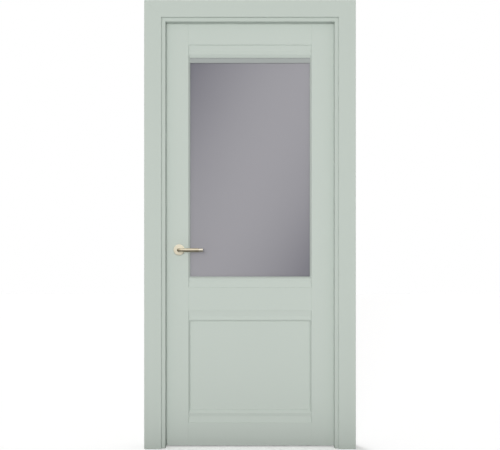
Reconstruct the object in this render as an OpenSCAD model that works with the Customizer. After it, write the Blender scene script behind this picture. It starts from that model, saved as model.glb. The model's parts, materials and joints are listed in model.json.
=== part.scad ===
// Half-glazed interior door in its frame: a stile-and-rail leaf hung on three butt hinges,
// a rebated jamb with a seal, flat casings on both faces, and a sprung latch worked by levers.
// Axes: X across the door, Y through it (the leaf opens towards +Y), Z up from the floor.
// X = 0 and Y = 0 are the middle of the closed leaf.

/* [Leaf] */
// Width of the leaf
leaf_w = 800; // [650:1:1000]
// Height of the leaf
leaf_h = 2000; // [1650:1:2450]
// Thickness of the leaf
leaf_t = 40; // [34:0.5:48]
// Gap between the leaf and the jambs, at the sides and the top
leaf_gap = 3; // [2:0.1:4]
// Gap between the leaf and the floor
floor_gap = 5; // [3:0.5:15]
// Face width of a stile, up to its moulded edge
stile_w = 108.5; // [105:0.5:140]
// Face height of the top rail
top_rail_h = 106; // [85:1:140]
// Face height of the middle rail
middle_rail_h = 108; // [88:1:140]
// Face height of the bottom rail
bottom_rail_h = 108; // [88:1:200]
// Height of the middle rail's centre above the floor
middle_rail_z = 697; // [560:1:850]
// Bevel on the leaf's upright outer edges
leaf_bevel = 1; // [0.5:0.1:2]
// Depth of the fine V along each joint of stile and rail
joint_v = 0.5; // [0.3:0.1:1]

/* [Moulded edges] */
// Width of the stile's sloping inner edge
sticking_w = 8; // [5:0.5:12]
// Width of the square lip beside each groove
lip = 1.9; // [1.5:0.1:3]
// Step down from a rail's face to its moulding
step_d = 2.5; // [1:0.1:3]
// Width of the moulding's long shallow slope
slope_w = 29; // [20:0.5:36]
// Depth at the foot of the long slope
slope_d = 7; // [4.5:0.1:8]
// Width of the moulding's rising slope
rise_w = 15; // [10:0.5:22]
// Depth at the top of the rising slope
rise_d = 4; // [2:0.1:4.4]
// Width of the middle rail's steep fall to the panel and the glass
fall_w = 8; // [6:0.5:14]
// Width of the top and bottom rails' steep fall
end_fall_w = 15.5; // [6:0.5:18]

/* [Panel and glass] */
// Thickness of the lower panel
panel_t = 10; // [8:0.5:12]
// Depth of the grooves that hold the panel and the glass
groove_d = 10; // [8:0.5:14]
// Space left round the panel for it to swell
panel_play = 2; // [1:0.1:3]
// Clearance of the panel and the tenons in a groove, each side
groove_fit = 0.1; // [0.05:0.01:0.3]
// Thickness of the glass
glass_t = 4; // [3:0.5:6]
// Thickness of the gasket's base, under the glass edge
gasket_base = 2; // [1.5:0.1:3]
// How far the gasket stays below the edge of its groove
gasket_sink = 1; // [0.5:0.1:2]
// Height of the glazing beads under the top rail
bead_h = 24; // [18:0.5:30]
// How far a glazing bead stands out beyond the lip
bead_out = 2; // [1:0.5:4]
// Clearance between a glazing bead and the glass
bead_fit = 0.3; // [0.1:0.05:0.5]
// Bevel on a glazing bead
bead_bevel = 1.5; // [0.5:0.1:2]

/* [Dowels] */
// Diameter of a dowel
dowel_dia = 10; // [8:0.5:12]
// Length of a dowel
dowel_l = 100; // [80:1:120]
// Distance between the two dowels of a joint
dowel_pitch = 56; // [44:1:64]

/* [Jamb] */
// Thickness of the jamb behind the leaf's edge
jamb_t = 28; // [24:0.5:34]
// Depth of the jamb, which is the thickness of the wall
jamb_depth = 75; // [70:1:140]
// How far the stop stands out over the edge of the leaf
stop_h = 7; // [6:0.5:9]
// Radius on the stop's front edge
stop_round = 5; // [4:0.5:6]
// Gap between the stop and the face of the leaf
seal_gap = 3; // [2.5:0.1:4]
// Width of the seal's slot
seal_slot_w = 3; // [2.5:0.1:3.6]
// Depth of the seal's slot
seal_slot_d = 7; // [6:0.1:9]
// Distance from the jamb's inner face to the middle of the seal's slot
seal_slot_in = 2.2; // [2:0.1:2.5]
// Width of the seal's bulb
seal_bulb_w = 5; // [4:0.1:6]
// Clearance between the bulb and the leaf, and round the stem
seal_fit = 0.3; // [0.2:0.05:0.5]

/* [Casing] */
// Face width of a casing
casing_w = 80; // [60:1:100]
// Thickness of a casing
casing_t = 10; // [8:0.5:14]
// How far the casing stands back from the jamb's inner face
casing_set_back = 12; // [9:0.5:14]
// Radius on the casing's long edges
casing_round = 1.5; // [1:0.1:2.5]
// Thickness of the tongue that slides into the jamb
tongue_t = 6; // [5:0.1:7]
// Length of the tongue
tongue_l = 10; // [8:0.5:12]
// Distance from the casing's inner edge to its tongue
tongue_in = 3; // [2:0.1:4]
// Clearance of the tongue in its slot, each side
tongue_fit = 0.2; // [0.1:0.05:0.4]
// Extra depth of the slot beyond the tongue
tongue_spare = 2; // [1:0.5:3]

/* [Hinges] */
// Height of a hinge
hinge_h = 100; // [80:1:120]
// Distance from the end of the leaf to the middle of the nearest hinge
hinge_end = 190; // [150:1:250]
// Thickness of a hinge plate
plate_t = 2.5; // [2:0.1:2.9]
// Width of a hinge plate let into the wood
plate_w = 30; // [25:0.5:32]
// Outside diameter of the knuckles
knuckle_dia = 13; // [11:0.5:13.5]
// Diameter of the hinge pin
hinge_pin_dia = 6; // [5:0.1:7]
// Radial clearance of the pin in the knuckles
pin_fit = 0.05; // [0.02:0.01:0.1]
// Gap between neighbouring knuckles
knuckle_gap = 0.3; // [0.2:0.05:0.5]
// Distance from the leaf's back face to the pin
pin_out = 7; // [6.9:0.1:9]
// Height of the pin's round caps
pin_cap_h = 3; // [2:0.5:5]
// Gap between the hinge plates' edges and the wood
plate_fit = 0.1; // [0.05:0.05:0.3]

/* [Handles] */
// Height of the spindle above the floor
handle_z = 930; // [850:1:1050]
// Distance from the leaf's edge to the spindle
backset = 65; // [60:1:70]
// Width of the square spindle
spindle_w = 8; // [7:0.5:9]
// Clearance of the spindle in its sockets, each side
spindle_fit = 0.1; // [0.05:0.01:0.2]
// Length of the spindle outside the leaf, each side
spindle_out = 28; // [24:1:32]
// Diameter of a rose
rose_dia = 52; // [50:1:56]
// Thickness of a rose
rose_t = 8; // [7:0.5:10]
// Thickness of the rose cover's metal
rose_wall = 1; // [0.8:0.1:1.4]
// Bevel round the rose's edge
rose_bevel = 1.5; // [1:0.1:2]
// Diameter of the lever's neck
neck_dia = 15; // [14:0.5:16]
// Radial running clearance of the neck in its bearing
neck_fit = 0.08; // [0.03:0.01:0.1]
// Distance from the leaf's face to the lever's centre line
lever_out = 50.5; // [46:0.5:60]
// Radius of the lever's bend at its centre line
bend_r = 14; // [12:0.5:18]
// Length of the lever from the spindle's centre
lever_l = 116; // [100:1:140]
// Distance from the spindle's centre to the thicker grip
grip_start = 23; // [20:0.5:28]
// Diameter of the grip
grip_dia = 19; // [17:0.5:22]
// Length of the slimmer end cap
cap_l = 20; // [16:0.5:26]
// Diameter of the end cap
cap_dia = 17; // [15.5:0.5:20]
// Width of the ring groove before the end cap
ring_w = 2; // [1.5:0.1:3]
// Bevel on the grip's edges
grip_bevel = 0.8; // [0.4:0.1:1]
// Distance between the two bolts through the roses
rose_bolt_pitch = 38; // [36:0.5:40]
// Diameter of the bolts through the roses
rose_bolt_dia = 4; // [3.5:0.1:4.5]
// Diameter of the grub screw in the neck
grub_dia = 5; // [4:0.1:5]
// Distance from the leaf's face to the grub screw
grub_out = 13; // [12:0.5:15]

/* [Latch] */
// Depth of the lock case behind the forend
case_d = 88; // [86:0.5:92]
// Height of the lock case
case_h = 100; // [96:1:120]
// Thickness of the lock case
case_t = 15; // [14.5:0.5:18]
// Thickness of the lock case's metal
case_wall = 1.5; // [1:0.1:1.5]
// Distance from the spindle down to the bottom of the case
case_drop = 40; // [36:1:45]
// Height of the forend
forend_h = 170; // [150:1:200]
// Width of the forend
forend_w = 20; // [18:0.5:22]
// Thickness of the forend and depth of its seat
forend_t = 3; // [2.5:0.1:3.5]
// How far the latch bolt stands out of the leaf's edge
bolt_out = 11; // [9:0.5:11]
// Height of the latch bolt's head
bolt_h = 16; // [14:0.5:18]
// Thickness of the latch bolt's head
bolt_t = 11; // [9:0.5:11]
// Height of the latch bolt above the spindle
bolt_rise = 22; // [21.5:0.1:24]
// Length of the bolt's head behind the leaf's edge
bolt_back = 17; // [15:0.5:18]
// Height of the follower's finger above the spindle
finger_l = 17.5; // [16:0.1:18]
// Thickness of the follower's finger
finger_w = 5; // [4:0.1:5.5]
// Gap between the finger and the hook of the bolt
finger_gap = 0.8; // [0.8:0.1:1.5]
// Thickness of the strike plate
strike_t = 2; // [1.5:0.1:2.5]
// Width of the strike plate
strike_w = 28; // [24:0.5:30]
// Height of the strike plate
strike_h = 150; // [130:1:180]
// Clearance of the bolt in the strike plate, each side
strike_fit = 1.2; // [0.8:0.1:2]

/* [Screws] */
// Diameter of the hinge, forend and strike screws
screw_dia = 4; // [3.5:0.1:4.5]
// Length of the hinge, forend and strike screws
screw_l = 20; // [16:1:25]
// Diameter of the screws in the frame's corners
corner_screw_dia = 4.5; // [4:0.1:5]
// Length of the screws in the frame's corners
corner_screw_l = 60; // [50:1:70]
// Clearance round a screw
screw_fit = 0.1; // [0.05:0.05:0.2]
// Diameter of the holes for the wall fixings
fixing_dia = 6.5; // [5:0.5:8]
// Distance between neighbouring wall fixings
fixing_pitch = 430; // [350:1:470]
// Height of the lowest wall fixing
fixing_z = 350; // [300:1:380]

/* [Hidden] */

$fn = 48;
skin = 1; // how far a cutter runs past the surface that it opens

// colours
paint = [0.74, 0.79, 0.75];
gold = [0.80, 0.70, 0.50];
steel = [0.72, 0.72, 0.70];
zinc = [0.62, 0.63, 0.62];
black_rubber = [0.15, 0.15, 0.15];
pale_rubber = [0.66, 0.70, 0.67];
beech = [0.78, 0.64, 0.46];
grey_glass = [0.62, 0.62, 0.64, 0.6];

// leaf
leaf_side = leaf_w / 2;
leaf_face = leaf_t / 2;
leaf_top = floor_gap + leaf_h;
groove_half = panel_t / 2 + groove_fit;
lip_y = groove_half + lip;
stile_face_x = leaf_side - stile_w;
lip_x = stile_face_x - sticking_w;
groove_x = lip_x + groove_d;
v_in = joint_v * sticking_w / (leaf_face - lip_y);
tenon_x = groove_x - 0.5;
moulding_w = slope_w + rise_w + fall_w;
end_moulding_w = slope_w + rise_w + end_fall_w;
bottom_rail_top = floor_gap + bottom_rail_h;
middle_rail_bottom = middle_rail_z - middle_rail_h / 2;
middle_rail_top = middle_rail_z + middle_rail_h / 2;
top_rail_bottom = leaf_top - top_rail_h;
panel_low = bottom_rail_top + end_moulding_w;
panel_high = middle_rail_bottom - moulding_w;
glass_low = middle_rail_top + moulding_w;
glass_high = top_rail_bottom - end_moulding_w;

// frame
jamb_face = leaf_side + leaf_gap;
head_z = leaf_top + leaf_gap;
jamb_front = leaf_face - jamb_depth;
stop_depth = jamb_depth - leaf_t - seal_gap;
stop_back = jamb_front + stop_depth;
tongue_pos = casing_set_back + tongue_in;
tongue_slot_d = tongue_l + tongue_spare;
mitre_reach = casing_set_back + casing_w + 60;
wall_fixings = 4;

// hinges
hinge_pin_x = leaf_side + leaf_gap / 2;
hinge_pin_y = leaf_face + pin_out;
hinge_top_z = leaf_top - hinge_end;
hinge_bottom_z = floor_gap + hinge_end;
hinge_middle_z = (hinge_top_z + hinge_bottom_z) / 2;
hinge_heights = [hinge_top_z, hinge_middle_z, hinge_bottom_z];
knuckles = 5;
knuckle_h = hinge_h / knuckles;
plate_y = leaf_face - plate_w;
screw_rows = [[-37, -5], [-12, 3], [12, -5], [37, 3]]; // height and depth of each screw in a plate

// handles and latch
spindle_x = backset - leaf_side;
lever_y = leaf_face + lever_out;
rose_base_t = rose_t - rose_wall - 0.5;
rose_base_r = rose_dia / 2 - rose_wall - 0.4;
rose_bolt_xs = [spindle_x - rose_bolt_pitch / 2, spindle_x + rose_bolt_pitch / 2];
bolt_head_r = 4;
bolt_head_h = 2.5;
forend_x = -leaf_side;
case_front = forend_x + forend_t;
case_low = handle_z - case_drop;
case_room = case_t / 2 - case_wall;
bolt_z = handle_z + bolt_rise;
forend_low = bolt_z - 12 - forend_h / 2;
forend_screw_zs = [forend_low + 10, forend_low + forend_h - 10];
mortise_fit = 1; // room round the lock case in its mortise
hub_r = 10;
hub_bearing_r = 8;
hub_fit = 0.08;
hub_half_t = 4;
tail_h = 6;
tail_t = 4;
hook_t = 4;
hook_x = spindle_x + finger_w / 2 + finger_gap;
lug_x = spindle_x - 17;
lug_t = 4;
lug_h = 14;
lug_fit = 0.3;
spring_wire_r = 0.5;
spring_r = 4.6;
spring_turns = 7;
spring_steps = 12; // rings of wire in each turn
spring_sides = 8;
strike_room = 14; // depth of the pocket behind the strike plate
strike_screw_zs = [bolt_z - strike_h / 2 + 15, bolt_z + strike_h / 2 - 15];

// ---- shared shapes ----

function reverse(list) = [for (i = [len(list) - 1:-1:0]) list[i]];
function flip_x(list) = [for (p = reverse(list)) [-p[0], p[1]]];
function flip_y(list) = [for (p = reverse(list)) [p[0], -p[1]]];

// mirrors its children to the -X side when side is -1
module on_side(side) {
    if (side < 0) mirror([1, 0, 0]) children();
    else children();
}

// mirrors its children to the -Y face when face is -1
module on_face(face) {
    if (face < 0) mirror([0, 1, 0]) children();
    else children();
}

// extrudes a drawing of Y and Z along X, from the middle outwards
module along_x(length) {
    rotate([90, 0, 90]) linear_extrude(height = length, center = true) children();
}

// countersunk wood screw, its head's top at the origin and its point towards -Z
module screw(dia, length) {
    r = dia / 2;
    difference() {
        rotate_extrude()
            polygon([[0, 0], [2 * r, 0], [r, -dia * 0.6], [r, -length + dia], [0, -length]]);
        for (turn = [0, 90])
            rotate([0, 0, turn]) cube([1.8 * r, 0.4 * r, 0.8 * r], center = true);
    }
}

// the hole that such a screw fills
module screw_hole(dia, length) {
    r = dia / 2 + screw_fit;
    rotate_extrude()
        polygon([[0, skin], [r + dia / 2, skin], [r + dia / 2, 0], [r, -dia * 0.6],
                 [r, -length - screw_fit], [0, -length - screw_fit]]);
}

// ---- frame: mitred members, drawn once as a section ----

// In each section, x runs outwards from the jamb's inner face and y through the wall.

module upright(side) {
    on_side(side) difference() {
        translate([jamb_face, 0, 0]) linear_extrude(height = head_z + mitre_reach) children();
        mitre_waste([jamb_face - mitre_reach, head_z + mitre_reach]);
    }
}

module head_member() {
    difference() {
        translate([0, 0, head_z]) rotate([0, -90, 0])
            linear_extrude(height = 2 * (jamb_face + mitre_reach), center = true) children();
        for (side = [-1, 1])
            on_side(side) mitre_waste([jamb_face + mitre_reach, head_z - mitre_reach]);
    }
}

// the wood cut away on one side of the 45-degree mitre through the inner corner
module mitre_waste(corner) {
    rotate([90, 0, 0]) linear_extrude(height = 4 * jamb_depth, center = true)
        polygon([[jamb_face - mitre_reach, head_z - mitre_reach],
                 [jamb_face + mitre_reach, head_z + mitre_reach], corner]);
}

module jamb_section() {
    difference() {
        union() {
            translate([0, jamb_front]) square([jamb_t, jamb_depth]);
            translate([-stop_h, jamb_front + stop_round]) square([stop_h + skin, stop_depth - stop_round]);
            translate([stop_round - stop_h, jamb_front]) square([stop_h, stop_round + skin]);
            translate([stop_round - stop_h, jamb_front + stop_round]) circle(r = stop_round);
        }
        translate([-seal_slot_in - seal_slot_w / 2, stop_back - seal_slot_d])
            square([seal_slot_w, seal_slot_d + skin]);
        for (y = [jamb_front - skin, leaf_face - tongue_slot_d])
            translate([tongue_pos - tongue_fit, y])
                square([tongue_t + 2 * tongue_fit, tongue_slot_d + skin]);
    }
}

module casing_section() {
    w = casing_w;
    r = casing_round;
    translate([casing_set_back, jamb_front - casing_t]) {
        translate([r, 0]) square([w - 2 * r, casing_t]);
        translate([0, r]) square([w, casing_t - r]);
        for (x = [r, w - r])
            translate([x, r]) circle(r = r);
    }
    translate([tongue_pos, jamb_front - skin]) square([tongue_t, tongue_l + skin]);
}

// the same section turned to the wall's other face
module back_casing_section() {
    translate([0, leaf_face + jamb_front]) mirror([0, 1]) casing_section();
}

module seal_section() {
    bulb_t = seal_gap - seal_fit;
    stem_w = seal_slot_w - seal_fit;
    bulb_low = -seal_fit - seal_bulb_w;
    translate([-seal_slot_in - stem_w / 2, stop_back - seal_slot_d + seal_fit])
        square([stem_w, seal_slot_d + bulb_t / 2]);
    translate([bulb_low + bulb_t / 2, stop_back]) square([seal_bulb_w - bulb_t, bulb_t]);
    for (x = [bulb_low + bulb_t / 2, bulb_low + seal_bulb_w - bulb_t / 2])
        translate([x, stop_back + bulb_t / 2]) circle(r = bulb_t / 2);
}

module corner_screw_places() {
    for (side = [-1, 1])
        for (y = [jamb_front + 20, 0])
            translate([side * (jamb_face + jamb_t / 2), y, head_z + jamb_t]) children();
}

module wall_fixing_holes(side) {
    for (i = [0:wall_fixings - 1])
        translate([side * (jamb_face - skin), 0, fixing_z + i * fixing_pitch])
            rotate([0, side * 90, 0]) cylinder(h = jamb_t + 2 * skin, d = fixing_dia);
}

module jamb_lock_side() {
    color(paint) difference() {
        upright(-1) jamb_section();
        corner_screw_places() screw_hole(corner_screw_dia, corner_screw_l);
        wall_fixing_holes(-1);
        strike_outline(plate_fit, strike_t + skin);
        strike_pocket();
        strike_screw_places() screw_hole(screw_dia, screw_l);
    }
}

module jamb_hinge_side() {
    color(paint) difference() {
        upright(1) jamb_section();
        corner_screw_places() screw_hole(corner_screw_dia, corner_screw_l);
        wall_fixing_holes(1);
        for (z = hinge_heights) {
            hinge_seat(z, jamb_face - skin, plate_t + skin);
            hinge_screw_places(z, jamb_face, 1) screw_hole(screw_dia, screw_l);
        }
    }
}

module jamb_head() {
    color(paint) difference() {
        head_member() jamb_section();
        corner_screw_places() screw_hole(corner_screw_dia, corner_screw_l);
    }
}

module frame_corner_screws() {
    color(zinc) corner_screw_places() screw(corner_screw_dia, corner_screw_l);
}

module seal_upright(side) {
    color(pale_rubber) upright(side) seal_section();
}

module seal_head() {
    color(pale_rubber) head_member() seal_section();
}

module casing_front_upright(side) {
    color(paint) upright(side) casing_section();
}

module casing_front_head() {
    color(paint) head_member() casing_section();
}

module casing_back_upright(side) {
    color(paint) upright(side) back_casing_section();
}

module casing_back_head() {
    color(paint) head_member() back_casing_section();
}

// ---- strike plate ----

// its outline, grown by a fit, from the jamb's face outwards
module strike_outline(fit, depth) {
    translate([-jamb_face - depth + (depth > strike_t ? skin : 0), 0, bolt_z]) {
        translate([0, -strike_w / 2 - fit, -strike_h / 2 - fit])
            cube([depth, strike_w + 2 * fit, strike_h + 2 * fit]);
        translate([0, 0, -bolt_h - fit])
            cube([depth, leaf_face + (fit > 0 ? skin : 0), 2 * (bolt_h + fit)]);
    }
}

module strike_pocket() {
    half_t = bolt_t / 2 + strike_fit;
    half_h = bolt_h / 2 + strike_fit;
    translate([-jamb_face - strike_room, -half_t, bolt_z - half_h])
        cube([strike_room + skin, 2 * half_t, 2 * half_h]);
}

module strike_screw_places() {
    for (z = strike_screw_zs)
        translate([-jamb_face, 0, z]) rotate([0, 90, 0]) children();
}

module strike_plate() {
    color(zinc) difference() {
        strike_outline(0, strike_t);
        strike_pocket();
        strike_screw_places() screw_hole(screw_dia, screw_l);
    }
}

module strike_screws() {
    color(zinc) strike_screw_places() screw(screw_dia, screw_l);
}

// ---- hinges ----

// the shallow seat for a plate, open at the wood's back face
module hinge_seat(z, x, depth) {
    translate([x, plate_y - plate_fit, z - hinge_h / 2 - plate_fit])
        cube([depth, plate_w + plate_fit + skin, hinge_h + 2 * plate_fit]);
}

// screws in a plate at x, driven towards way
module hinge_screw_places(z, x, way) {
    for (row = screw_rows)
        translate([x, row[1], z + row[0] * hinge_h / 100]) rotate([0, -way * 90, 0]) children();
}

// a plate at x with the knuckles whose number leaves this remainder
module hinge_half(z, x, way, remainder) {
    bottom = z - hinge_h / 2;
    outer_x = x + (way > 0 ? 0 : -plate_t);
    difference() {
        union() {
            translate([outer_x, plate_y, bottom]) cube([plate_t, plate_w, hinge_h]);
            for (i = [0:knuckles - 1])
                if (i % 2 == remainder)
                    translate([0, 0, bottom + i * knuckle_h + knuckle_gap / 2])
                        knuckle(outer_x, knuckle_h - knuckle_gap);
        }
        translate([hinge_pin_x, hinge_pin_y, bottom - skin])
            cylinder(h = hinge_h + 2 * skin, d = hinge_pin_dia + 2 * pin_fit);
        hinge_screw_places(z, x, way) screw_hole(screw_dia, screw_l);
    }
}

module knuckle(outer_x, height) {
    translate([hinge_pin_x, hinge_pin_y, 0]) cylinder(h = height, d = knuckle_dia);
    translate([outer_x, leaf_face - skin, 0]) cube([plate_t, pin_out + skin, height]);
}

module hinge_frame_plate(z) {
    color(gold) hinge_half(z, jamb_face, 1, 0);
}

module hinge_leaf_plate(z) {
    color(gold) hinge_half(z, leaf_side, -1, 1);
}

// a loose pin with a round cap at each end
module hinge_pin(z) {
    color(gold) translate([hinge_pin_x, hinge_pin_y, z]) {
        cylinder(h = hinge_h + pin_cap_h, d = hinge_pin_dia, center = true);
        for (end = [0, 180])
            rotate([end, 0, 0]) translate([0, 0, hinge_h / 2])
                cylinder(h = pin_cap_h, d1 = knuckle_dia, d2 = knuckle_dia - 3);
    }
}

module hinge_frame_screws() {
    color(gold) for (z = hinge_heights)
        hinge_screw_places(z, jamb_face, 1) screw(screw_dia, screw_l);
}

module hinge_leaf_screws() {
    color(gold) for (z = hinge_heights)
        hinge_screw_places(z, leaf_side, -1) screw(screw_dia, screw_l);
}

// ---- leaf: stiles and rails ----

module stile_section() {
    corner = [[leaf_side, leaf_face - leaf_bevel], [leaf_side - leaf_bevel, leaf_face],
              [stile_face_x + joint_v, leaf_face], [stile_face_x - v_in, leaf_face - joint_v],
              [lip_x, lip_y], [lip_x, groove_half], [groove_x, groove_half]];
    polygon(concat(corner, flip_y(corner)));
}

// the outline of a rail seen from above: coped over the stiles' edges, with stub tenons
module rail_plan(with_tenon) {
    tenon_end = with_tenon ? tenon_x : lip_x;
    corner = [[stile_face_x - joint_v, leaf_face], [stile_face_x - v_in, leaf_face - joint_v],
              [lip_x, lip_y], [lip_x, panel_t / 2], [tenon_end, panel_t / 2]];
    right = concat(corner, flip_y(corner));
    polygon(concat(right, flip_x(right)));
}

// a rail's moulded edge at height edge, growing width towards way, from the front face to the back
function moulded_edge(edge, way, width) = let (
    profile = [[0, 0], [step_d, 0], [slope_d, slope_w], [rise_d, slope_w + rise_w],
               [leaf_face - lip_y, width]],
    face = [for (p = profile) [p[0] - leaf_face, edge + way * p[1]]],
    groove = [[-groove_half, edge + way * width],
              [-groove_half, edge + way * (width - groove_d)]],
    front = concat(face, groove)
) concat(front, flip_x(front));

function plain_edge(edge) = [[-leaf_face, edge], [leaf_face, edge]];

module rail(lower, upper) {
    intersection() {
        along_x(leaf_w) polygon(concat(lower, reverse(upper)));
        linear_extrude(height = leaf_top + skin) rail_plan(true);
    }
}

// places of the dowels, lying along X, at the ends of one rail
module dowel_places(rail_z) {
    for (side = [-1, 1])
        for (dz = [-dowel_pitch / 2, dowel_pitch / 2])
            translate([side * lip_x, 0, rail_z + dz]) rotate([0, 90, 0]) children();
}

bottom_dowels_z = floor_gap + bottom_rail_h / 2;
top_dowels_z = leaf_top - top_rail_h / 2;

module dowel_holes() {
    for (z = [bottom_dowels_z, middle_rail_z, top_dowels_z])
        dowel_places(z) cylinder(h = dowel_l + 2, d = dowel_dia + 2 * groove_fit, center = true);
}

module rail_dowels() {
    color(beech) for (z = [bottom_dowels_z, middle_rail_z, top_dowels_z])
        dowel_places(z) cylinder(h = dowel_l, d = dowel_dia, center = true);
}

module stile(side) {
    difference() {
        on_side(side) translate([0, 0, floor_gap]) linear_extrude(height = leaf_h) stile_section();
        dowel_holes();
    }
}

module stile_lock_side() {
    color(paint) difference() {
        stile(-1);
        lock_mortise();
        handle_bores(leaf_t + 2 * skin);
    }
}

module stile_hinge_side() {
    color(paint) difference() {
        stile(1);
        for (z = hinge_heights) {
            hinge_seat(z, leaf_side - plate_t, plate_t + skin);
            hinge_screw_places(z, leaf_side, -1) screw_hole(screw_dia, screw_l);
        }
    }
}

module rail_top() {
    color(paint) difference() {
        rail(moulded_edge(top_rail_bottom, -1, end_moulding_w), plain_edge(leaf_top));
        dowel_holes();
    }
}

module rail_middle() {
    color(paint) difference() {
        rail(moulded_edge(middle_rail_bottom, -1, moulding_w), moulded_edge(middle_rail_top, 1, moulding_w));
        dowel_holes();
    }
}

module rail_bottom() {
    color(paint) difference() {
        rail(plain_edge(floor_gap), moulded_edge(bottom_rail_top, 1, end_moulding_w));
        dowel_holes();
    }
}

// ---- leaf: panel and glass ----

module lower_panel() {
    half_w = groove_x - panel_play;
    low = panel_low - groove_d + panel_play;
    high = panel_high + groove_d - panel_play;
    color(paint) translate([-half_w, -panel_t / 2, low]) cube([2 * half_w, panel_t, high - low]);
}

// a block as wide as the glazed opening plus grow on every side
module glazed_block(grow, thickness) {
    translate([-lip_x - grow, -thickness / 2, glass_low - grow])
        cube([2 * (lip_x + grow), thickness, glass_high - glass_low + 2 * grow]);
}

gasket_grow = groove_d - 0.5;

module glass_pane() {
    color(grey_glass) glazed_block(gasket_grow - gasket_base, glass_t);
}

module glass_gasket() {
    color(black_rubber) difference() {
        glazed_block(gasket_grow, panel_t);
        glazed_block(gasket_sink, panel_t + 2 * skin);
        glazed_block(gasket_grow - gasket_base, glass_t);
    }
}

// a bead pinned under the top rail, against the glass
module glazing_bead(face) {
    front = lip_y + bead_out;
    low = glass_high - bead_h;
    color(paint) on_face(face) intersection() {
        along_x(leaf_w) polygon([[glass_t / 2 + bead_fit, low], [front - bead_bevel, low],
                                 [front, low + bead_bevel], [front, glass_high],
                                 [glass_t / 2 + bead_fit, glass_high]]);
        linear_extrude(height = leaf_top) rail_plan(false);
    }
}

// ---- latch: case and forend ----

module lock_mortise() {
    room = case_t + 2 * mortise_fit;
    translate([forend_x - skin, -room / 2, case_low - mortise_fit])
        cube([forend_t + case_d + mortise_fit + skin, room, case_h + 2 * mortise_fit]);
    translate([forend_x - skin, -forend_w / 2 - plate_fit, forend_low - plate_fit])
        cube([forend_t + skin, forend_w + 2 * plate_fit, forend_h + 2 * plate_fit]);
    forend_screw_places() screw_hole(screw_dia, screw_l);
}

// bores through the leaf for the necks' ends and the rose bolts
module handle_bores(length) {
    translate([spindle_x, 0, handle_z]) rotate([90, 0, 0])
        cylinder(h = length, r = hub_bearing_r + 3, center = true);
    rose_bolt_bores(length);
}

module rose_bolt_bores(length) {
    for (x = rose_bolt_xs)
        translate([x, 0, handle_z]) rotate([90, 0, 0])
            cylinder(h = length, d = rose_bolt_dia + 1, center = true);
}

module forend_screw_places() {
    for (z = forend_screw_zs)
        translate([forend_x, 0, z]) rotate([0, -90, 0]) children();
}

// the window that the bolt's head slides through
module bolt_window(fit) {
    translate([forend_x - bolt_out - skin, -bolt_t / 2 - fit, bolt_z - bolt_h / 2 - fit])
        cube([bolt_out + bolt_back, bolt_t + 2 * fit, bolt_h + 2 * fit]);
}

module lock_forend() {
    color(gold) difference() {
        translate([forend_x, -forend_w / 2, forend_low]) cube([forend_t, forend_w, forend_h]);
        bolt_window(0.2);
        forend_screw_places() screw_hole(screw_dia, screw_l);
    }
}

module forend_screws() {
    color(gold) forend_screw_places() screw(screw_dia, screw_l);
}

// the hub's bearing holes and the bolt holes in the case's two plates
module case_bores() {
    translate([spindle_x, 0, handle_z]) rotate([90, 0, 0])
        cylinder(h = case_t + 2 * skin, r = hub_bearing_r + hub_fit, center = true);
    rose_bolt_bores(case_t + 2 * skin);
}

// pressed tray with a lug that guides the bolt's tail and backs its spring
module lock_case() {
    inner = case_room;
    color(zinc) difference() {
        union() {
            difference() {
                translate([case_front, -inner, case_low]) cube([case_d, inner + case_t / 2, case_h]);
                translate([case_front + case_wall, -inner - skin, case_low + case_wall])
                    cube([case_d - 2 * case_wall, 2 * inner + skin, case_h - 2 * case_wall]);
            }
            translate([lug_x, -inner, bolt_z - lug_h / 2]) cube([lug_t, 2 * inner + skin / 2, lug_h]);
        }
        bolt_window(0.2);
        translate([lug_x - skin, -tail_t / 2 - lug_fit, bolt_z - tail_h / 2 - lug_fit])
            cube([lug_t + 2 * skin, tail_t + 2 * lug_fit, tail_h + 2 * lug_fit]);
        case_bores();
    }
}

module lock_cover() {
    color(zinc) difference() {
        translate([case_front, -case_t / 2, case_low]) cube([case_d, case_wall, case_h]);
        case_bores();
    }
}

// hub with a square socket and a finger that draws the bolt back
module lock_follower() {
    color(zinc) translate([spindle_x, 0, handle_z]) difference() {
        union() {
            rotate([90, 0, 0]) cylinder(h = case_t, r = hub_bearing_r, center = true);
            rotate([90, 0, 0]) cylinder(h = 2 * hub_half_t, r = hub_r, center = true);
            translate([-finger_w / 2, -hub_half_t, 0]) cube([finger_w, 2 * hub_half_t, finger_l]);
        }
        cube([spindle_w + 2 * spindle_fit, case_t + 2 * skin, spindle_w + 2 * spindle_fit], center = true);
    }
}

// bevelled head, flat tail and a hook that hangs in front of the follower's finger
module latch_bolt() {
    head_x = forend_x + bolt_back;
    hook_low = finger_l - 6.9;
    color(zinc) {
        translate([0, 0, bolt_z - bolt_h / 2]) linear_extrude(height = bolt_h)
            polygon([[head_x, -bolt_t / 2], [forend_x, -bolt_t / 2], [forend_x - bolt_out, bolt_t / 2 - 2],
                     [forend_x - bolt_out, bolt_t / 2], [head_x, bolt_t / 2]]);
        translate([head_x - skin, -tail_t / 2, bolt_z - tail_h / 2])
            cube([hook_x + hook_t - head_x + skin, tail_t, tail_h]);
        translate([hook_x, -hub_half_t, handle_z + hook_low])
            cube([hook_t, 2 * hub_half_t, bolt_rise + tail_h / 2 - hook_low]);
    }
}

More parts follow.
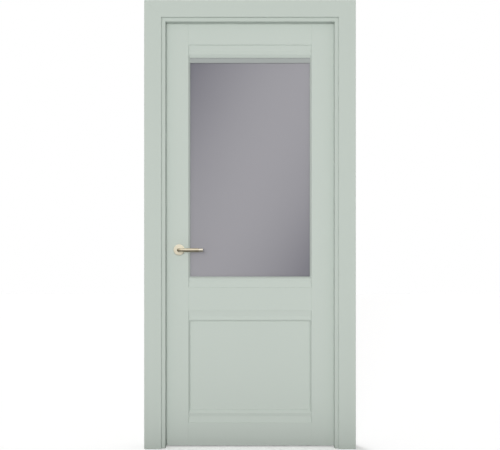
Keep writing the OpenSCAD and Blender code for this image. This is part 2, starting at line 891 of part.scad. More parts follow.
// compression spring round the bolt's tail, between its head and the lug
module latch_spring() {
    start = forend_x + bolt_back + spring_wire_r + 0.1;
    length = lug_x - start - spring_wire_r - 0.1;
    rings = spring_turns * spring_steps;
    points = [for (i = [0:rings]) for (k = [0:spring_sides - 1])
        let (turn = 360 * i / spring_steps, around = 360 * k / spring_sides,
             r = spring_r + spring_wire_r * cos(around))
        [start + length * i / rings + spring_wire_r * sin(around), r * cos(turn), r * sin(turn)]];
    last = rings * spring_sides;
    walls = [for (i = [0:rings - 1]) for (k = [0:spring_sides - 1])
        let (a = i * spring_sides + k, b = i * spring_sides + (k + 1) % spring_sides)
        [a, b, b + spring_sides, a + spring_sides]];
    first_end = [for (k = [spring_sides - 1:-1:0]) k];
    last_end = [for (k = [0:spring_sides - 1]) last + k];
    color(steel) translate([0, 0, bolt_z])
        polyhedron(points = points, faces = concat([first_end], walls, [last_end]), convexity = 6);
}

// ---- handles ----

// Handle pieces are drawn for the back face, round the spindle's line, with y growing off the leaf.

module at_handle(face) {
    on_face(face) translate([spindle_x, leaf_face, handle_z]) rotate([-90, 0, 0]) children();
}

module rose_base(face) {
    color(zinc) at_handle(face) difference() {
        cylinder(h = rose_base_t, r = rose_base_r);
        translate([0, 0, -skin]) cylinder(h = rose_base_t + 2 * skin, r = neck_dia / 2 + neck_fit);
        for (side = [-1, 1])
            translate([side * rose_bolt_pitch / 2, 0, 0]) {
                translate([0, 0, -skin])
                    cylinder(h = rose_base_t + 2 * skin, d = rose_bolt_dia + 2 * screw_fit);
                if (face > 0)
                    translate([0, 0, rose_base_t - bolt_head_h - screw_fit])
                        cylinder(h = bolt_head_h + skin, r = bolt_head_r + screw_fit);
            }
    }
}

module rose_cover(face) {
    r = rose_dia / 2;
    hole = neck_dia / 2 + 0.3;
    inner_r = r - rose_wall;
    inner_t = rose_t - rose_wall;
    color(gold) at_handle(face) rotate_extrude($fn = 96)
        polygon([[inner_r, 0], [r, 0], [r, rose_t - rose_bevel], [r - rose_bevel, rose_t],
                 [hole, rose_t], [hole, inner_t], [inner_r - rose_bevel / 2, inner_t],
                 [inner_r, inner_t - rose_bevel / 2]]);
}

// bolts from the back rose through the leaf and the lock case into the front rose
module rose_bolts() {
    head_y = leaf_face + rose_base_t - bolt_head_h;
    shank_l = head_y + leaf_face + rose_base_t - 1;
    color(zinc) for (x = rose_bolt_xs)
        translate([x, head_y, handle_z]) rotate([90, 0, 0]) {
            cylinder(h = shank_l, d = rose_bolt_dia);
            difference() {
                translate([0, 0, -bolt_head_h]) cylinder(h = bolt_head_h, r = bolt_head_r);
                translate([0, 0, -bolt_head_h - skin]) cylinder(h = skin + 1.5, r = 1.4, $fn = 6);
            }
        }
}

// one cast piece: neck, bend, grip and end cap
module lever(face) {
    neck_r = neck_dia / 2;
    neck_start = 0.5;
    grip_r = grip_dia / 2;
    cap_r = cap_dia / 2;
    b = grip_bevel;
    ring = lever_l - cap_l;
    color(gold) difference() {
        at_handle(face) union() {
            translate([0, 0, neck_start]) cylinder(h = lever_out - bend_r - neck_start, r = neck_r);
            translate([bend_r, 0, lever_out - bend_r]) rotate([90, 0, 180])
                rotate_extrude(angle = 90) translate([bend_r, 0]) circle(r = neck_r);
            translate([0, 0, lever_out]) rotate([0, 90, 0]) rotate_extrude()
                polygon([[0, bend_r], [neck_r, bend_r], [neck_r, grip_start], [grip_r - b, grip_start],
                         [grip_r, grip_start + b], [grip_r, ring - ring_w - b],
                         [grip_r - b, ring - ring_w], [neck_r, ring - ring_w], [neck_r, ring],
                         [cap_r - b, ring], [cap_r, ring + b], [cap_r, lever_l - b],
                         [cap_r - b, lever_l], [0, lever_l]]);
        }
        translate([spindle_x, 0, handle_z])
            cube([spindle_w + 2 * spindle_fit, 2 * (leaf_face + spindle_out + 1),
                  spindle_w + 2 * spindle_fit], center = true);
        grub_place(face) cylinder(h = neck_r + skin, d = grub_dia + 2 * screw_fit);
    }
}

// from the spindle's line straight down through the neck
module grub_place(face) {
    translate([spindle_x, face * (leaf_face + grub_out), handle_z]) rotate([180, 0, 0]) children();
}

module grub_screws() {
    seat = spindle_w / 2;
    color(zinc) for (face = [-1, 1])
        grub_place(face) difference() {
            translate([0, 0, seat]) cylinder(h = neck_dia / 2 - seat - 0.3, d = grub_dia);
            translate([0, 0, neck_dia / 2 - 2]) cylinder(h = 3, r = 1.3, $fn = 6);
        }
}

module spindle() {
    color(steel) translate([spindle_x, 0, handle_z])
        cube([spindle_w, 2 * (leaf_face + spindle_out), spindle_w], center = true);
}

// ---- nodes ----

jamb_lock_side();
jamb_hinge_side();
jamb_head();
seal_upright(-1);  // seal_lock_side
seal_upright(1);  // seal_hinge_side
seal_head();
casing_front_upright(-1);  // casing_front_left
casing_front_upright(1);  // casing_front_right
casing_front_head();
casing_back_upright(-1);  // casing_back_left
casing_back_upright(1);  // casing_back_right
casing_back_head();
frame_corner_screws();
strike_plate();
strike_screws();
hinge_frame_plate(hinge_top_z);  // hinge_top_frame_plate
hinge_frame_plate(hinge_middle_z);  // hinge_middle_frame_plate
hinge_frame_plate(hinge_bottom_z);  // hinge_bottom_frame_plate
hinge_pin(hinge_top_z);  // hinge_top_pin
hinge_pin(hinge_middle_z);  // hinge_middle_pin
hinge_pin(hinge_bottom_z);  // hinge_bottom_pin
hinge_frame_screws();
stile_lock_side();
stile_hinge_side();
rail_top();
rail_middle();
rail_bottom();
rail_dowels();
lower_panel();
glass_pane();
glass_gasket();
glazing_bead(-1);  // glazing_bead_front
glazing_bead(1);  // glazing_bead_back
hinge_leaf_plate(hinge_top_z);  // hinge_top_leaf_plate
hinge_leaf_plate(hinge_middle_z);  // hinge_middle_leaf_plate
hinge_leaf_plate(hinge_bottom_z);  // hinge_bottom_leaf_plate
hinge_leaf_screws();
lock_case();
lock_cover();
lock_forend();
forend_screws();
latch_spring();
rose_base(-1);  // rose_base_front
rose_base(1);  // rose_base_back
rose_cover(-1);  // rose_cover_front
rose_cover(1);  // rose_cover_back
rose_bolts();
lever(-1);  // lever_front
lever(1);  // lever_back
spindle();
lock_follower();
grub_screws();
latch_bolt();
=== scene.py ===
"""A half-glazed interior door in its frame: sprayed wood, satin glass and pale gold handles."""

import json
import math

import bmesh
import bpy
import numpy as np
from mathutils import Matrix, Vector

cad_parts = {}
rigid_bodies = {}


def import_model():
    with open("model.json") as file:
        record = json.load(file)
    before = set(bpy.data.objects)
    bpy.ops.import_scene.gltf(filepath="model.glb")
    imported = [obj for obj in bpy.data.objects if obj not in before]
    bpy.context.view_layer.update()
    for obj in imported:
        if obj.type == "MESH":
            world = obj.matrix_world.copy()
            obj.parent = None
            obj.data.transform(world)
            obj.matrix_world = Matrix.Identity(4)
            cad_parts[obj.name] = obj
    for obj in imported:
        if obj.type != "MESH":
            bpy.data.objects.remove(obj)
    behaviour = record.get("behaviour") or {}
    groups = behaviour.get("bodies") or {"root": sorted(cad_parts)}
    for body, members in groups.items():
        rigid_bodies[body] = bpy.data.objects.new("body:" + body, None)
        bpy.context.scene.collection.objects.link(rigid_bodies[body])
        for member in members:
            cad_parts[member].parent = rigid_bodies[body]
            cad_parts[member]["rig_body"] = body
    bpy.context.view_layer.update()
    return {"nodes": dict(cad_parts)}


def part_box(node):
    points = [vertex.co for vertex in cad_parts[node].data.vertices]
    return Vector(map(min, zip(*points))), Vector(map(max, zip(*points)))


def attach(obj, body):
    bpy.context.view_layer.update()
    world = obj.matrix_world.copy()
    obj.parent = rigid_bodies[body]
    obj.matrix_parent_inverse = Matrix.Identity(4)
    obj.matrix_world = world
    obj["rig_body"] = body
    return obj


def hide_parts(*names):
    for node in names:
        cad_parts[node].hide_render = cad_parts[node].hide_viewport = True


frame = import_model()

scene = bpy.context.scene

# ---- The studio ------------------------------------------------------------------------------------
# The door stands on a pale floor in a white room that is brighter above than below. Two soft lights from
# behind the camera, the weaker one higher and further left, and a third from behind model its edges.

casing_low, casing_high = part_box("casing_front_head")
front_y = casing_low.y
camera_height = 1.0475
camera_away = 4.0
view_width = 2.3375  # at the casings' faces

camera_data = bpy.data.cameras.new("camera")
camera_data.sensor_width = 36.0
camera_data.lens = camera_data.sensor_width * camera_away / view_width
camera = bpy.data.objects.new("camera", camera_data)
camera.location = (0.0, front_y - camera_away, camera_height)
camera.rotation_euler = (math.radians(90), 0.0, 0.0)
scene.collection.objects.link(camera)
scene.camera = camera
scene.view_settings.view_transform = "Standard"


def far_light(name, left, up, spread, strength, colour):
    """A soft light from far away: it shines from this many degrees to the left of the camera's view and
    up from the floor, and fills this many degrees of the room. It leaves no glare."""
    data = bpy.data.lights.new(name, "SUN")
    data.angle = math.radians(spread)
    data.energy = strength
    data.color = colour
    light = bpy.data.objects.new(name, data)
    light.rotation_euler = (math.radians(90 - up), 0.0, math.radians(-left))
    light.visible_glossy = False
    scene.collection.objects.link(light)


far_light("key", 3.0, 3.0, 9.0, 1.00, (1.0, 0.99, 0.985))
far_light("side_key", 9.0, 11.0, 12.0, 0.58, (1.0, 0.99, 0.985))
far_light("rear_key", 150.0, 36.0, 24.0, 1.5, (0.99, 0.99, 1.0))

world = bpy.data.worlds.new("white_room")
world.use_nodes = True
scene.world = world
room = world.node_tree
room.nodes.clear()
room_out = room.nodes.new("ShaderNodeOutputWorld")
room_rays = room.nodes.new("ShaderNodeLightPath")
room_place = room.nodes.new("ShaderNodeTexCoord")
room_split = room.nodes.new("ShaderNodeSeparateXYZ")
room.links.new(room_place.outputs["Generated"], room_split.inputs["Vector"])

room_light = room.nodes.new("ShaderNodeBackground")  # what the room throws on dull surfaces
room_light.inputs["Color"].default_value = (1.0, 0.995, 0.99, 1.0)
room_rise = room.nodes.new("ShaderNodeMapRange")
room_rise.inputs["From Min"].default_value = -0.3
room_rise.inputs["From Max"].default_value = 0.9
room_rise.inputs["To Min"].default_value = 0.32
room_rise.inputs["To Max"].default_value = 0.48
room.links.new(room_split.outputs["Z"], room_rise.inputs["Value"])
room.links.new(room_rise.outputs["Result"], room_light.inputs["Strength"])

room_sheen = room.nodes.new("ShaderNodeBackground")  # what it shows in shiny ones
room_level = room.nodes.new("ShaderNodeMapRange")
room_level.inputs["From Min"].default_value = -1.0
room_ramp = room.nodes.new("ShaderNodeValToRGB")
room_ramp.color_ramp.interpolation = "B_SPLINE"
room_ramp.color_ramp.elements[0].position = 0.30
room_ramp.color_ramp.elements[0].color = (0.07, 0.07, 0.07, 1.0)
room_ramp.color_ramp.elements[1].position = 0.90
room_ramp.color_ramp.elements[1].color = (1.0, 1.0, 1.0, 1.0)
for at in (0.48, 0.58):
    room_ramp.color_ramp.elements.new(at).color = (1.0, 1.0, 1.0, 1.0)
room.links.new(room_split.outputs["Z"], room_level.inputs["Value"])
room.links.new(room_level.outputs["Result"], room_ramp.inputs["Fac"])
room.links.new(room_ramp.outputs["Color"], room_sheen.inputs["Color"])
room_sheen.inputs["Strength"].default_value = 1.25

room_seen = room.nodes.new("ShaderNodeBackground")
room_seen.inputs["Color"].default_value = (1.0, 1.0, 1.0, 1.0)
last = room_light.outputs["Background"]
for rays, other in (("Is Glossy Ray", room_sheen), ("Is Camera Ray", room_seen)):
    mix = room.nodes.new("ShaderNodeMixShader")
    room.links.new(room_rays.outputs[rays], mix.inputs["Fac"])
    room.links.new(last, mix.inputs[1])
    room.links.new(other.outputs["Background"], mix.inputs[2])
    last = mix.outputs["Shader"]
room.links.new(last, room_out.inputs["Surface"])


def flat_board(name, half_width):
    """A flat square board lying on the ground."""
    x = np.array([-1, 1, 1, -1]) * half_width
    y = np.array([-1, -1, 1, 1]) * half_width
    corners = np.stack([x, y, 0 * x], axis=1)
    mesh = bpy.data.meshes.new(name)
    mesh.from_pydata(corners.tolist(), [], [[0, 1, 2, 3]])
    board = bpy.data.objects.new(name, mesh)
    scene.collection.objects.link(board)
    material = bpy.data.materials.new(name)
    material.use_nodes = True
    mesh.materials.append(material)
    bsdf = material.node_tree.nodes["Principled BSDF"]
    bsdf.inputs["Roughness"].default_value = 0.9
    bsdf.inputs["Specular IOR Level"].default_value = 0.0
    return material.node_tree, bsdf


# The floor is lit from within as well, so that it melts into the white room. It looks dim in the metals,
# and throws up less light close to the door.
floor_half = 9.0
floor_tree, bsdf = flat_board("pale_floor", floor_half)
bsdf.inputs["Base Color"].default_value = (0.90, 0.90, 0.90, 1.0)
bsdf.inputs["Emission Color"].default_value = (1.0, 1.0, 0.99, 1.0)
bsdf.inputs["Emission Strength"].default_value = 0.31
floor_glow = floor_tree.nodes.new("ShaderNodeEmission")
floor_tone = floor_tree.nodes.new("ShaderNodeMix")
floor_tone.data_type = "RGBA"
floor_tone.inputs["B"].default_value = (0.07, 0.07, 0.065, 1.0)
floor_rays = floor_tree.nodes.new("ShaderNodeLightPath")
floor_mix = floor_tree.nodes.new("ShaderNodeMixShader")
floor_place = floor_tree.nodes.new("ShaderNodeTexCoord")
floor_split = floor_tree.nodes.new("ShaderNodeSeparateXYZ")
floor_near = floor_tree.nodes.new("ShaderNodeMath")
floor_near.operation = "ABSOLUTE"
floor_rise = floor_tree.nodes.new("ShaderNodeMapRange")
floor_rise.inputs["From Min"].default_value = 0.07
floor_rise.inputs["From Max"].default_value = 0.9
floor_rise.inputs["To Max"].default_value = 0.5625
floor_bounce = floor_tree.nodes.new("ShaderNodeMath")
floor_bounce.operation = "SQRT"
floor_tree.links.new(floor_place.outputs["Object"], floor_split.inputs["Vector"])
floor_tree.links.new(floor_split.outputs["Y"], floor_near.inputs[0])
floor_tree.links.new(floor_near.outputs["Value"], floor_rise.inputs["Value"])
floor_tree.links.new(floor_rise.outputs["Result"], floor_bounce.inputs[0])
floor_tree.links.new(floor_bounce.outputs["Value"], floor_tone.inputs["A"])
floor_tree.links.new(floor_rays.outputs["Is Glossy Ray"], floor_tone.inputs["Factor"])
floor_tree.links.new(floor_tone.outputs["Result"], floor_glow.inputs["Color"])
floor_tree.links.new(floor_rays.outputs["Is Camera Ray"], floor_mix.inputs["Fac"])
floor_tree.links.new(floor_glow.outputs["Emission"], floor_mix.inputs[1])
floor_tree.links.new(bsdf.outputs["BSDF"], floor_mix.inputs[2])
floor_tree.links.new(floor_mix.outputs["Shader"], floor_tree.nodes["Material Output"].inputs["Surface"])

# ---- Sprayed frame: the jambs ----------------------------------------------------------------------
# Three rebated lengths of MDF, mitred and screwed at the corners and sprayed with satin lacquer. The
# stop's front edge is rounded, and pockets are milled for the hinges, the strike plate and the bolt.


def eased(corners, radii, steps=4):
    """A closed outline with its corners rounded. Each arc blends between the two radii that touch the
    neighbouring sides: sin((1-f)a) of one plus sin(fa) of the other, over sin(a), about the centre."""
    p = np.asarray(corners, float)
    r = np.broadcast_to(np.asarray(radii, float), len(p))
    back = np.roll(p, 1, axis=0) - p
    ahead = np.roll(p, -1, axis=0) - p
    back_l = np.linalg.norm(back, axis=1)
    ahead_l = np.linalg.norm(ahead, axis=1)
    back /= back_l[:, None]
    ahead /= ahead_l[:, None]
    half = np.arccos(np.clip((back * ahead).sum(axis=1), -1, 1)) / 2
    reach = np.minimum(r / np.tan(half), 0.45 * np.minimum(back_l, ahead_l))
    r = reach * np.tan(half)
    middle = back + ahead
    middle /= np.maximum(np.linalg.norm(middle, axis=1), 1e-9)[:, None]
    centre = p + middle * (r / np.sin(half))[:, None]
    from_back = p + back * reach[:, None] - centre
    from_ahead = p + ahead * reach[:, None] - centre
    turn = np.pi - 2 * half[:, None]
    f = np.linspace(0, 1, steps + 1)[None, :]
    below = np.maximum(np.sin(turn), 1e-6)
    first = (np.sin((1 - f) * turn) / below)[..., None] * from_back[:, None, :]
    second = (np.sin(f * turn) / below)[..., None] * from_ahead[:, None, :]
    return (centre[:, None, :] + first + second).reshape(-1, 2)


def make_piece(name, mesh, material):
    """Joins equal points, points the faces outwards, keeps edges over 35 degrees sharp and gives
    flat faces their true shade beside round ones."""
    work = bmesh.new()
    work.from_mesh(mesh)
    bmesh.ops.remove_doubles(work, verts=work.verts, dist=2e-6)
    bmesh.ops.dissolve_degenerate(work, edges=work.edges, dist=1e-6)
    bmesh.ops.recalc_face_normals(work, faces=work.faces)
    work.to_mesh(mesh)
    work.free()
    mesh.shade_smooth()
    mesh.set_sharp_from_angle(angle=math.radians(35))
    mesh.materials.clear()
    mesh.materials.append(material)
    piece = bpy.data.objects.new(name, mesh)
    scene.collection.objects.link(piece)
    shade = piece.modifiers.new("true_shade", "WEIGHTED_NORMAL")
    shade.keep_sharp = True
    return piece


def prism(start, end):
    """A closed solid between two outlines with equally many points: straight walls and two ends."""
    count = len(start)
    i = np.arange(count)
    j = np.roll(i, -1)
    walls = np.stack([i, j, j + count, i + count], axis=1).tolist()
    mesh = bpy.data.meshes.new("prism")
    mesh.from_pydata(np.concatenate([start, end]).tolist(), [],
                     walls + [i[::-1].tolist(), (i + count).tolist()])
    return mesh


def block(low, high):
    """A closed box from its lowest to its highest corner."""
    low, high = np.asarray(low, float), np.asarray(high, float)
    pick = np.array([[0, 0, 0], [1, 0, 0], [1, 1, 0], [0, 1, 0], [0, 0, 1], [1, 0, 1], [1, 1, 1], [0, 1, 1]])
    sides = [[0, 3, 2, 1], [4, 5, 6, 7], [0, 1, 5, 4], [1, 2, 6, 5], [2, 3, 7, 6], [3, 0, 4, 7]]
    mesh = bpy.data.meshes.new("block")
    mesh.from_pydata((low + pick * (high - low)).tolist(), [], sides)
    return mesh


def milled(mesh, cutters):
    """The mesh with each cutter's solid taken out of it in turn."""
    for cutter_mesh in cutters:
        work = bpy.data.objects.new("work", mesh)
        cutter = bpy.data.objects.new("cutter", cutter_mesh)
        for thing in (work, cutter):
            scene.collection.objects.link(thing)
        cut = work.modifiers.new("cut", "BOOLEAN")
        cut.operation = "DIFFERENCE"
        cut.solver = "EXACT"
        cut.object = cutter
        graph = bpy.context.evaluated_depsgraph_get()
        mesh = bpy.data.meshes.new_from_object(work.evaluated_get(graph))
        bpy.data.objects.remove(work)
        bpy.data.objects.remove(cutter)
    return mesh


def stands_for(piece, node):
    """The piece takes a CAD node's place: it joins the node's body, and the node is hidden."""
    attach(piece, frame["nodes"][node]["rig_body"])
    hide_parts(node)


def dress(nodes, material):
    """Gives CAD nodes that keep their own shape a better material."""
    for name in nodes:
        for slot in frame["nodes"][name].material_slots:
            slot.link = "OBJECT"
            slot.material = material


def new_group(name, inputs, outputs):
    """An empty shader node group with float or vector sockets. Returns it with its two end nodes."""
    group = bpy.data.node_groups.new(name, "ShaderNodeTree")
    for label, kind, value in inputs:
        socket = group.interface.new_socket(label, in_out="INPUT", socket_type=kind)
        if value is not None:
            socket.default_value = value
    for label, kind in outputs:
        group.interface.new_socket(label, in_out="OUTPUT", socket_type=kind)
    return group, group.nodes.new("NodeGroupInput"), group.nodes.new("NodeGroupOutput")


def maths(tree, operation, a, b=None, clamp=False):
    """A Math node. A number is set on its socket and anything else is linked to it."""
    node = tree.nodes.new("ShaderNodeMath")
    node.operation = operation
    node.use_clamp = clamp
    for socket, value in zip(node.inputs, (a, b)):
        if value is None:
            continue
        if isinstance(value, (int, float)):
            socket.default_value = value
        else:
            tree.links.new(value, socket)
    return node.outputs[0]


# Sprayed lacquer: fine orange peel with a slower ripple under it, slow drift of tone and gloss
LACQUER, group_in, group_out = new_group(
    "sprayed_lacquer",
    [("Peel", "NodeSocketFloat", 1.0), ("Seed", "NodeSocketFloat", 0.0)],
    [("Tone", "NodeSocketFloat"), ("Gloss", "NodeSocketFloat"), ("Height", "NodeSocketFloat")])
place = LACQUER.nodes.new("ShaderNodeTexCoord")
noises = {}
for label, scale, detail in (("peel", 620.0, 2.0), ("ripple", 95.0, 2.0),
                             ("haze", 26.0, 4.0), ("drift", 2.2, 3.0)):
    noise = LACQUER.nodes.new("ShaderNodeTexNoise")
    noise.noise_dimensions = "4D"
    noise.inputs["Scale"].default_value = scale
    noise.inputs["Detail"].default_value = detail
    LACQUER.links.new(place.outputs["Object"], noise.inputs["Vector"])
    LACQUER.links.new(group_in.outputs["Seed"], noise.inputs["W"])
    noises[label] = noise.outputs["Fac"]
peel = maths(LACQUER, "MULTIPLY", noises["peel"], 0.35)
skin = maths(LACQUER, "ADD", peel, noises["ripple"])
LACQUER.links.new(maths(LACQUER, "MULTIPLY", skin, group_in.outputs["Peel"]), group_out.inputs["Height"])
LACQUER.links.new(noises["haze"], group_out.inputs["Gloss"])
LACQUER.links.new(noises["drift"], group_out.inputs["Tone"])

# Arris: 0 on flat ground, rising to 1 where the surface turns within a short reach
ARRIS, group_in, group_out = new_group(
    "arris", [("Gain", "NodeSocketFloat", 4.0)], [("Edge", "NodeSocketFloat")])
rounded = ARRIS.nodes.new("ShaderNodeBevel")
rounded.samples = 6
rounded.inputs["Radius"].default_value = 0.0022
true_way = ARRIS.nodes.new("ShaderNodeNewGeometry")
agree = ARRIS.nodes.new("ShaderNodeVectorMath")
agree.operation = "DOT_PRODUCT"
ARRIS.links.new(rounded.outputs["Normal"], agree.inputs[0])
ARRIS.links.new(true_way.outputs["Normal"], agree.inputs[1])
turned = maths(ARRIS, "SUBTRACT", 1.0, agree.outputs["Value"])
turned = maths(ARRIS, "MULTIPLY", turned, group_in.outputs["Gain"], clamp=True)
ARRIS.links.new(turned, group_out.inputs["Edge"])


def use_group(tree, group, **values):
    """The group placed in a material, with its inputs set."""
    node = tree.nodes.new("ShaderNodeGroup")
    node.node_tree = group
    for label, value in values.items():
        node.inputs[label].default_value = value
    return node


def blend_colours(tree, amount, low, high):
    """A colour that runs from low to high as amount goes from 0 to 1."""
    mix = tree.nodes.new("ShaderNodeMix")
    mix.data_type = "RGBA"
    tree.links.new(amount, mix.inputs["Factor"])
    for socket, colour in ((mix.inputs["A"], low), (mix.inputs["B"], high)):
        if isinstance(colour, tuple):
            socket.default_value = (*colour, 1.0)
        else:
            tree.links.new(colour, socket)
    return mix.outputs["Result"]


def span(tree, amount, low, high):
    """A number that runs from low to high as amount goes from 0 to 1."""
    node = tree.nodes.new("ShaderNodeMapRange")
    tree.links.new(amount, node.inputs["Value"])
    node.inputs["To Min"].default_value = low
    node.inputs["To Max"].default_value = high
    return node.outputs["Result"]


def bump(tree, height, distance, strength):
    """A Bump node, whose height is in the scale of distance."""
    node = tree.nodes.new("ShaderNodeBump")
    node.inputs["Distance"].default_value = distance
    node.inputs["Strength"].default_value = strength
    tree.links.new(height, node.inputs["Height"])
    return node.outputs["Normal"]


def lacquer(name, low, high, edge, seed):
    """Satin sage-green lacquer: its tone drifts between two greens. Arrises get a painted highlight."""
    material = bpy.data.materials.new(name)
    material.use_nodes = True
    tree = material.node_tree
    bsdf = tree.nodes["Principled BSDF"]
    coat = use_group(tree, LACQUER, Peel=1.0, Seed=seed)
    arris = use_group(tree, ARRIS, Gain=2.5)
    body = blend_colours(tree, coat.outputs["Tone"], low, high)
    # Painted highlight: arrises are painted towards the paler edge colour.
    edges = maths(tree, "MULTIPLY", arris.outputs["Edge"], 0.15)
    tree.links.new(blend_colours(tree, edges, body, edge), bsdf.inputs["Base Color"])
    tree.links.new(span(tree, coat.outputs["Gloss"], 0.42, 0.62), bsdf.inputs["Roughness"])
    tree.links.new(bump(tree, coat.outputs["Height"], 0.0004, 0.10), bsdf.inputs["Normal"])
    bsdf.inputs["Specular IOR Level"].default_value = 0.30
    return material


frame_lacquer = lacquer("frame_lacquer", (0.505, 0.564, 0.518), (0.525, 0.584, 0.538),
                        edge=(0.62, 0.68, 0.63), seed=3.0)

jamb_low, jamb_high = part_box("jamb_hinge_side")
head_low, head_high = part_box("jamb_head")
stop_proud = 0.007
stop_round = 0.005
leaf_back = jamb_high.y
stop_back = leaf_back - 0.043
jamb_face = jamb_low.x + stop_proud
head_face = head_low.z + stop_proud
jamb_t = jamb_high.x - jamb_face
jamb_front = jamb_low.y
slot_in, slot_out, slot_d = 0.0148, 0.0212, 0.012  # the slots that take the casings' tongues
seal_in, seal_out, seal_d = 0.0037, 0.0007, 0.007  # the slot that takes the seal
mitre_gap = 0.00008

seal_slot = [(-seal_in, stop_back), (-seal_in, stop_back - seal_d),
             (-seal_out, stop_back - seal_d), (-seal_out, stop_back)]
back_slot = [(slot_in, leaf_back), (slot_in, leaf_back - slot_d),
             (slot_out, leaf_back - slot_d), (slot_out, leaf_back)]
front_slot = [(slot_out, jamb_front), (slot_out, jamb_front + slot_d),
              (slot_in, jamb_front + slot_d), (slot_in, jamb_front)]
slot_eases = [0.0003, 0, 0, 0.0003]
jamb_outline = eased(
    [(-stop_proud, jamb_front), (-stop_proud, stop_back)] + seal_slot + [(0, stop_back), (0, leaf_back)]
    + back_slot + [(jamb_t, leaf_back), (jamb_t, jamb_front)] + front_slot,
    [stop_round, 0.0012] + slot_eases + [0.0002, 0.001] + slot_eases + [0.001, 0.001] + slot_eases, steps=6)


def mitred(outline, member):
    """The two ends of a frame member. Its outline is (outwards from the jamb's face, through the wall),
    and at each mitre a point lies as far up as it lies outwards, less a hair for the joint."""
    out, through = outline[:, 0], outline[:, 1]
    if member == "head":
        end = jamb_face + out - mitre_gap
        return (np.stack([-end, through, head_face + out], axis=1),
                np.stack([end, through, head_face + out], axis=1))
    side = -1.0 if member == "lock" else 1.0
    x = side * (jamb_face + out)
    return (np.stack([x, through, 0 * out], axis=1),
            np.stack([x, through, head_face + out - mitre_gap], axis=1))


def grown(node, by, low=None, high=None):
    """A block the size of a CAD node, grown by a hair, with some of its sides moved elsewhere."""
    a, b = (np.array(c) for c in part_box(node))
    a, b = a - by, b + by
    for corner, moves in ((a, low or {}), (b, high or {})):
        for axis, value in moves.items():
            corner["xyz".index(axis)] = value
    return block(a, b)


hair = 0.0001  # how much wider a pocket is than its plate
beyond = 0.002  # how far a cutter stands out of the wood
plate_seat = 0.0025
hinge_names = ("top", "middle", "bottom")
hinge_pockets = [grown(f"hinge_{n}_frame_plate", hair, {"x": jamb_face - beyond},
                       {"x": jamb_face + plate_seat, "y": leaf_back + beyond}) for n in hinge_names]
strike_low, strike_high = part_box("strike_plate")
strike_half_w = -strike_low.y
bolt_z = (strike_low.z + strike_high.z) / 2
lip_half_h = 0.016  # half the lip that leads the bolt in from the back face
room_d, room_half_w, room_half_h = 0.014, 0.0067, 0.0092  # the bolt's room behind the plate
strike_pockets = [
    block([strike_low.x, -strike_half_w - hair, strike_low.z - hair],
          [strike_high.x + beyond, strike_half_w + hair, strike_high.z + hair]),
    block([strike_low.x - hair, 0.0, bolt_z - lip_half_h - hair],
          [strike_high.x + beyond, leaf_back + beyond, bolt_z + lip_half_h + hair]),
    block([-jamb_face - room_d, -room_half_w, bolt_z - room_half_h],
          [strike_low.x + hair, room_half_w, bolt_z + room_half_h])]
for member, node, pockets in (("hinge", "jamb_hinge_side", hinge_pockets),
                              ("lock", "jamb_lock_side", strike_pockets),
                              ("head", "jamb_head", [])):
    body = milled(prism(*mitred(jamb_outline, member)), pockets)
    stands_for(make_piece("frame_" + node, body, frame_lacquer), node)

# ---- Casings ---------------------------------------------------------------------------------------
# Flat mouldings on both faces of the wall, sprayed with the jambs. Each has a tongue that slides into
# the jamb's slot, and they meet in mitres at the top corners.

casing_in, casing_out = 0.012, casing_high.x - jamb_face
tongue_in, tongue_out, tongue_l = 0.015, 0.021, 0.010
casing_outline = eased(
    [(casing_in, front_y), (casing_out, front_y), (casing_out, jamb_front), (tongue_out, jamb_front),
     (tongue_out, jamb_front + tongue_l), (tongue_in, jamb_front + tongue_l), (tongue_in, jamb_front),
     (casing_in, jamb_front)],
    [0.0018, 0.0018, 0.0004, 0.0003, 0.0006, 0.0006, 0.0003, 0.0004], steps=6)
back_outline = casing_outline * [1, -1] + [0, leaf_back + jamb_front]
for outline, face in ((casing_outline, "front"), (back_outline, "back")):
    for member, where in (("lock", "left"), ("hinge", "right"), ("head", "head")):
        node = f"casing_{face}_{where}"
        stands_for(make_piece("flat_" + node, prism(*mitred(outline, member)), frame_lacquer), node)

# ---- Seals -----------------------------------------------------------------------------------------
# Soft extruded seals, pushed into the stop's slot by a barbed stem. Their bulb faces the leaf, and the
# corners are cut as mitres. The rubber is moulded to match the paint, a little greener and duller.

rubber = bpy.data.materials.new("matched_rubber")
rubber.use_nodes = True
tree = rubber.node_tree
bsdf = tree.nodes["Principled BSDF"]
coat = use_group(tree, LACQUER, Peel=1.6, Seed=11.0)
tree.links.new(blend_colours(tree, coat.outputs["Gloss"], (0.33, 0.38, 0.345), (0.39, 0.44, 0.40)),
               bsdf.inputs["Base Color"])
tree.links.new(span(tree, coat.outputs["Gloss"], 0.62, 0.85), bsdf.inputs["Roughness"])
tree.links.new(bump(tree, coat.outputs["Height"], 0.0003, 0.25), bsdf.inputs["Normal"])
bsdf.inputs["Specular IOR Level"].default_value = 0.3

bulb_in, bulb_out, bulb_t = 0.0053, 0.0003, 0.0027
stem_in, stem_out, stem_l, stem_taper = 0.0031, 0.0013, 0.0065, 0.0004
barb_w, barb_ats, barb_h = 0.0005, (0.0020, 0.0040), 0.0004
bulb = [(-bulb_in, stop_back), (-bulb_in, stop_back + bulb_t), (-bulb_out, stop_back + bulb_t),
        (-bulb_out, stop_back)]
outer_stem = [(-stem_out, stop_back)]
inner_stem = [(-stem_in, stop_back)]
for at in barb_ats:
    outer_stem += [(-stem_out, stop_back - at), (-stem_out + barb_w, stop_back - at - barb_h)]
    inner_stem += [(-stem_in, stop_back - at), (-stem_in - barb_w, stop_back - at - barb_h)]
outer_stem.append((-stem_out - stem_taper, stop_back - stem_l))
inner_stem.append((-stem_in + stem_taper, stop_back - stem_l))
seal_outline = eased(bulb + outer_stem + inner_stem[::-1],
                     [0.0003, 0.0012, 0.0012, 0.0003] + [0.0002] * (2 * len(outer_stem)), steps=5)
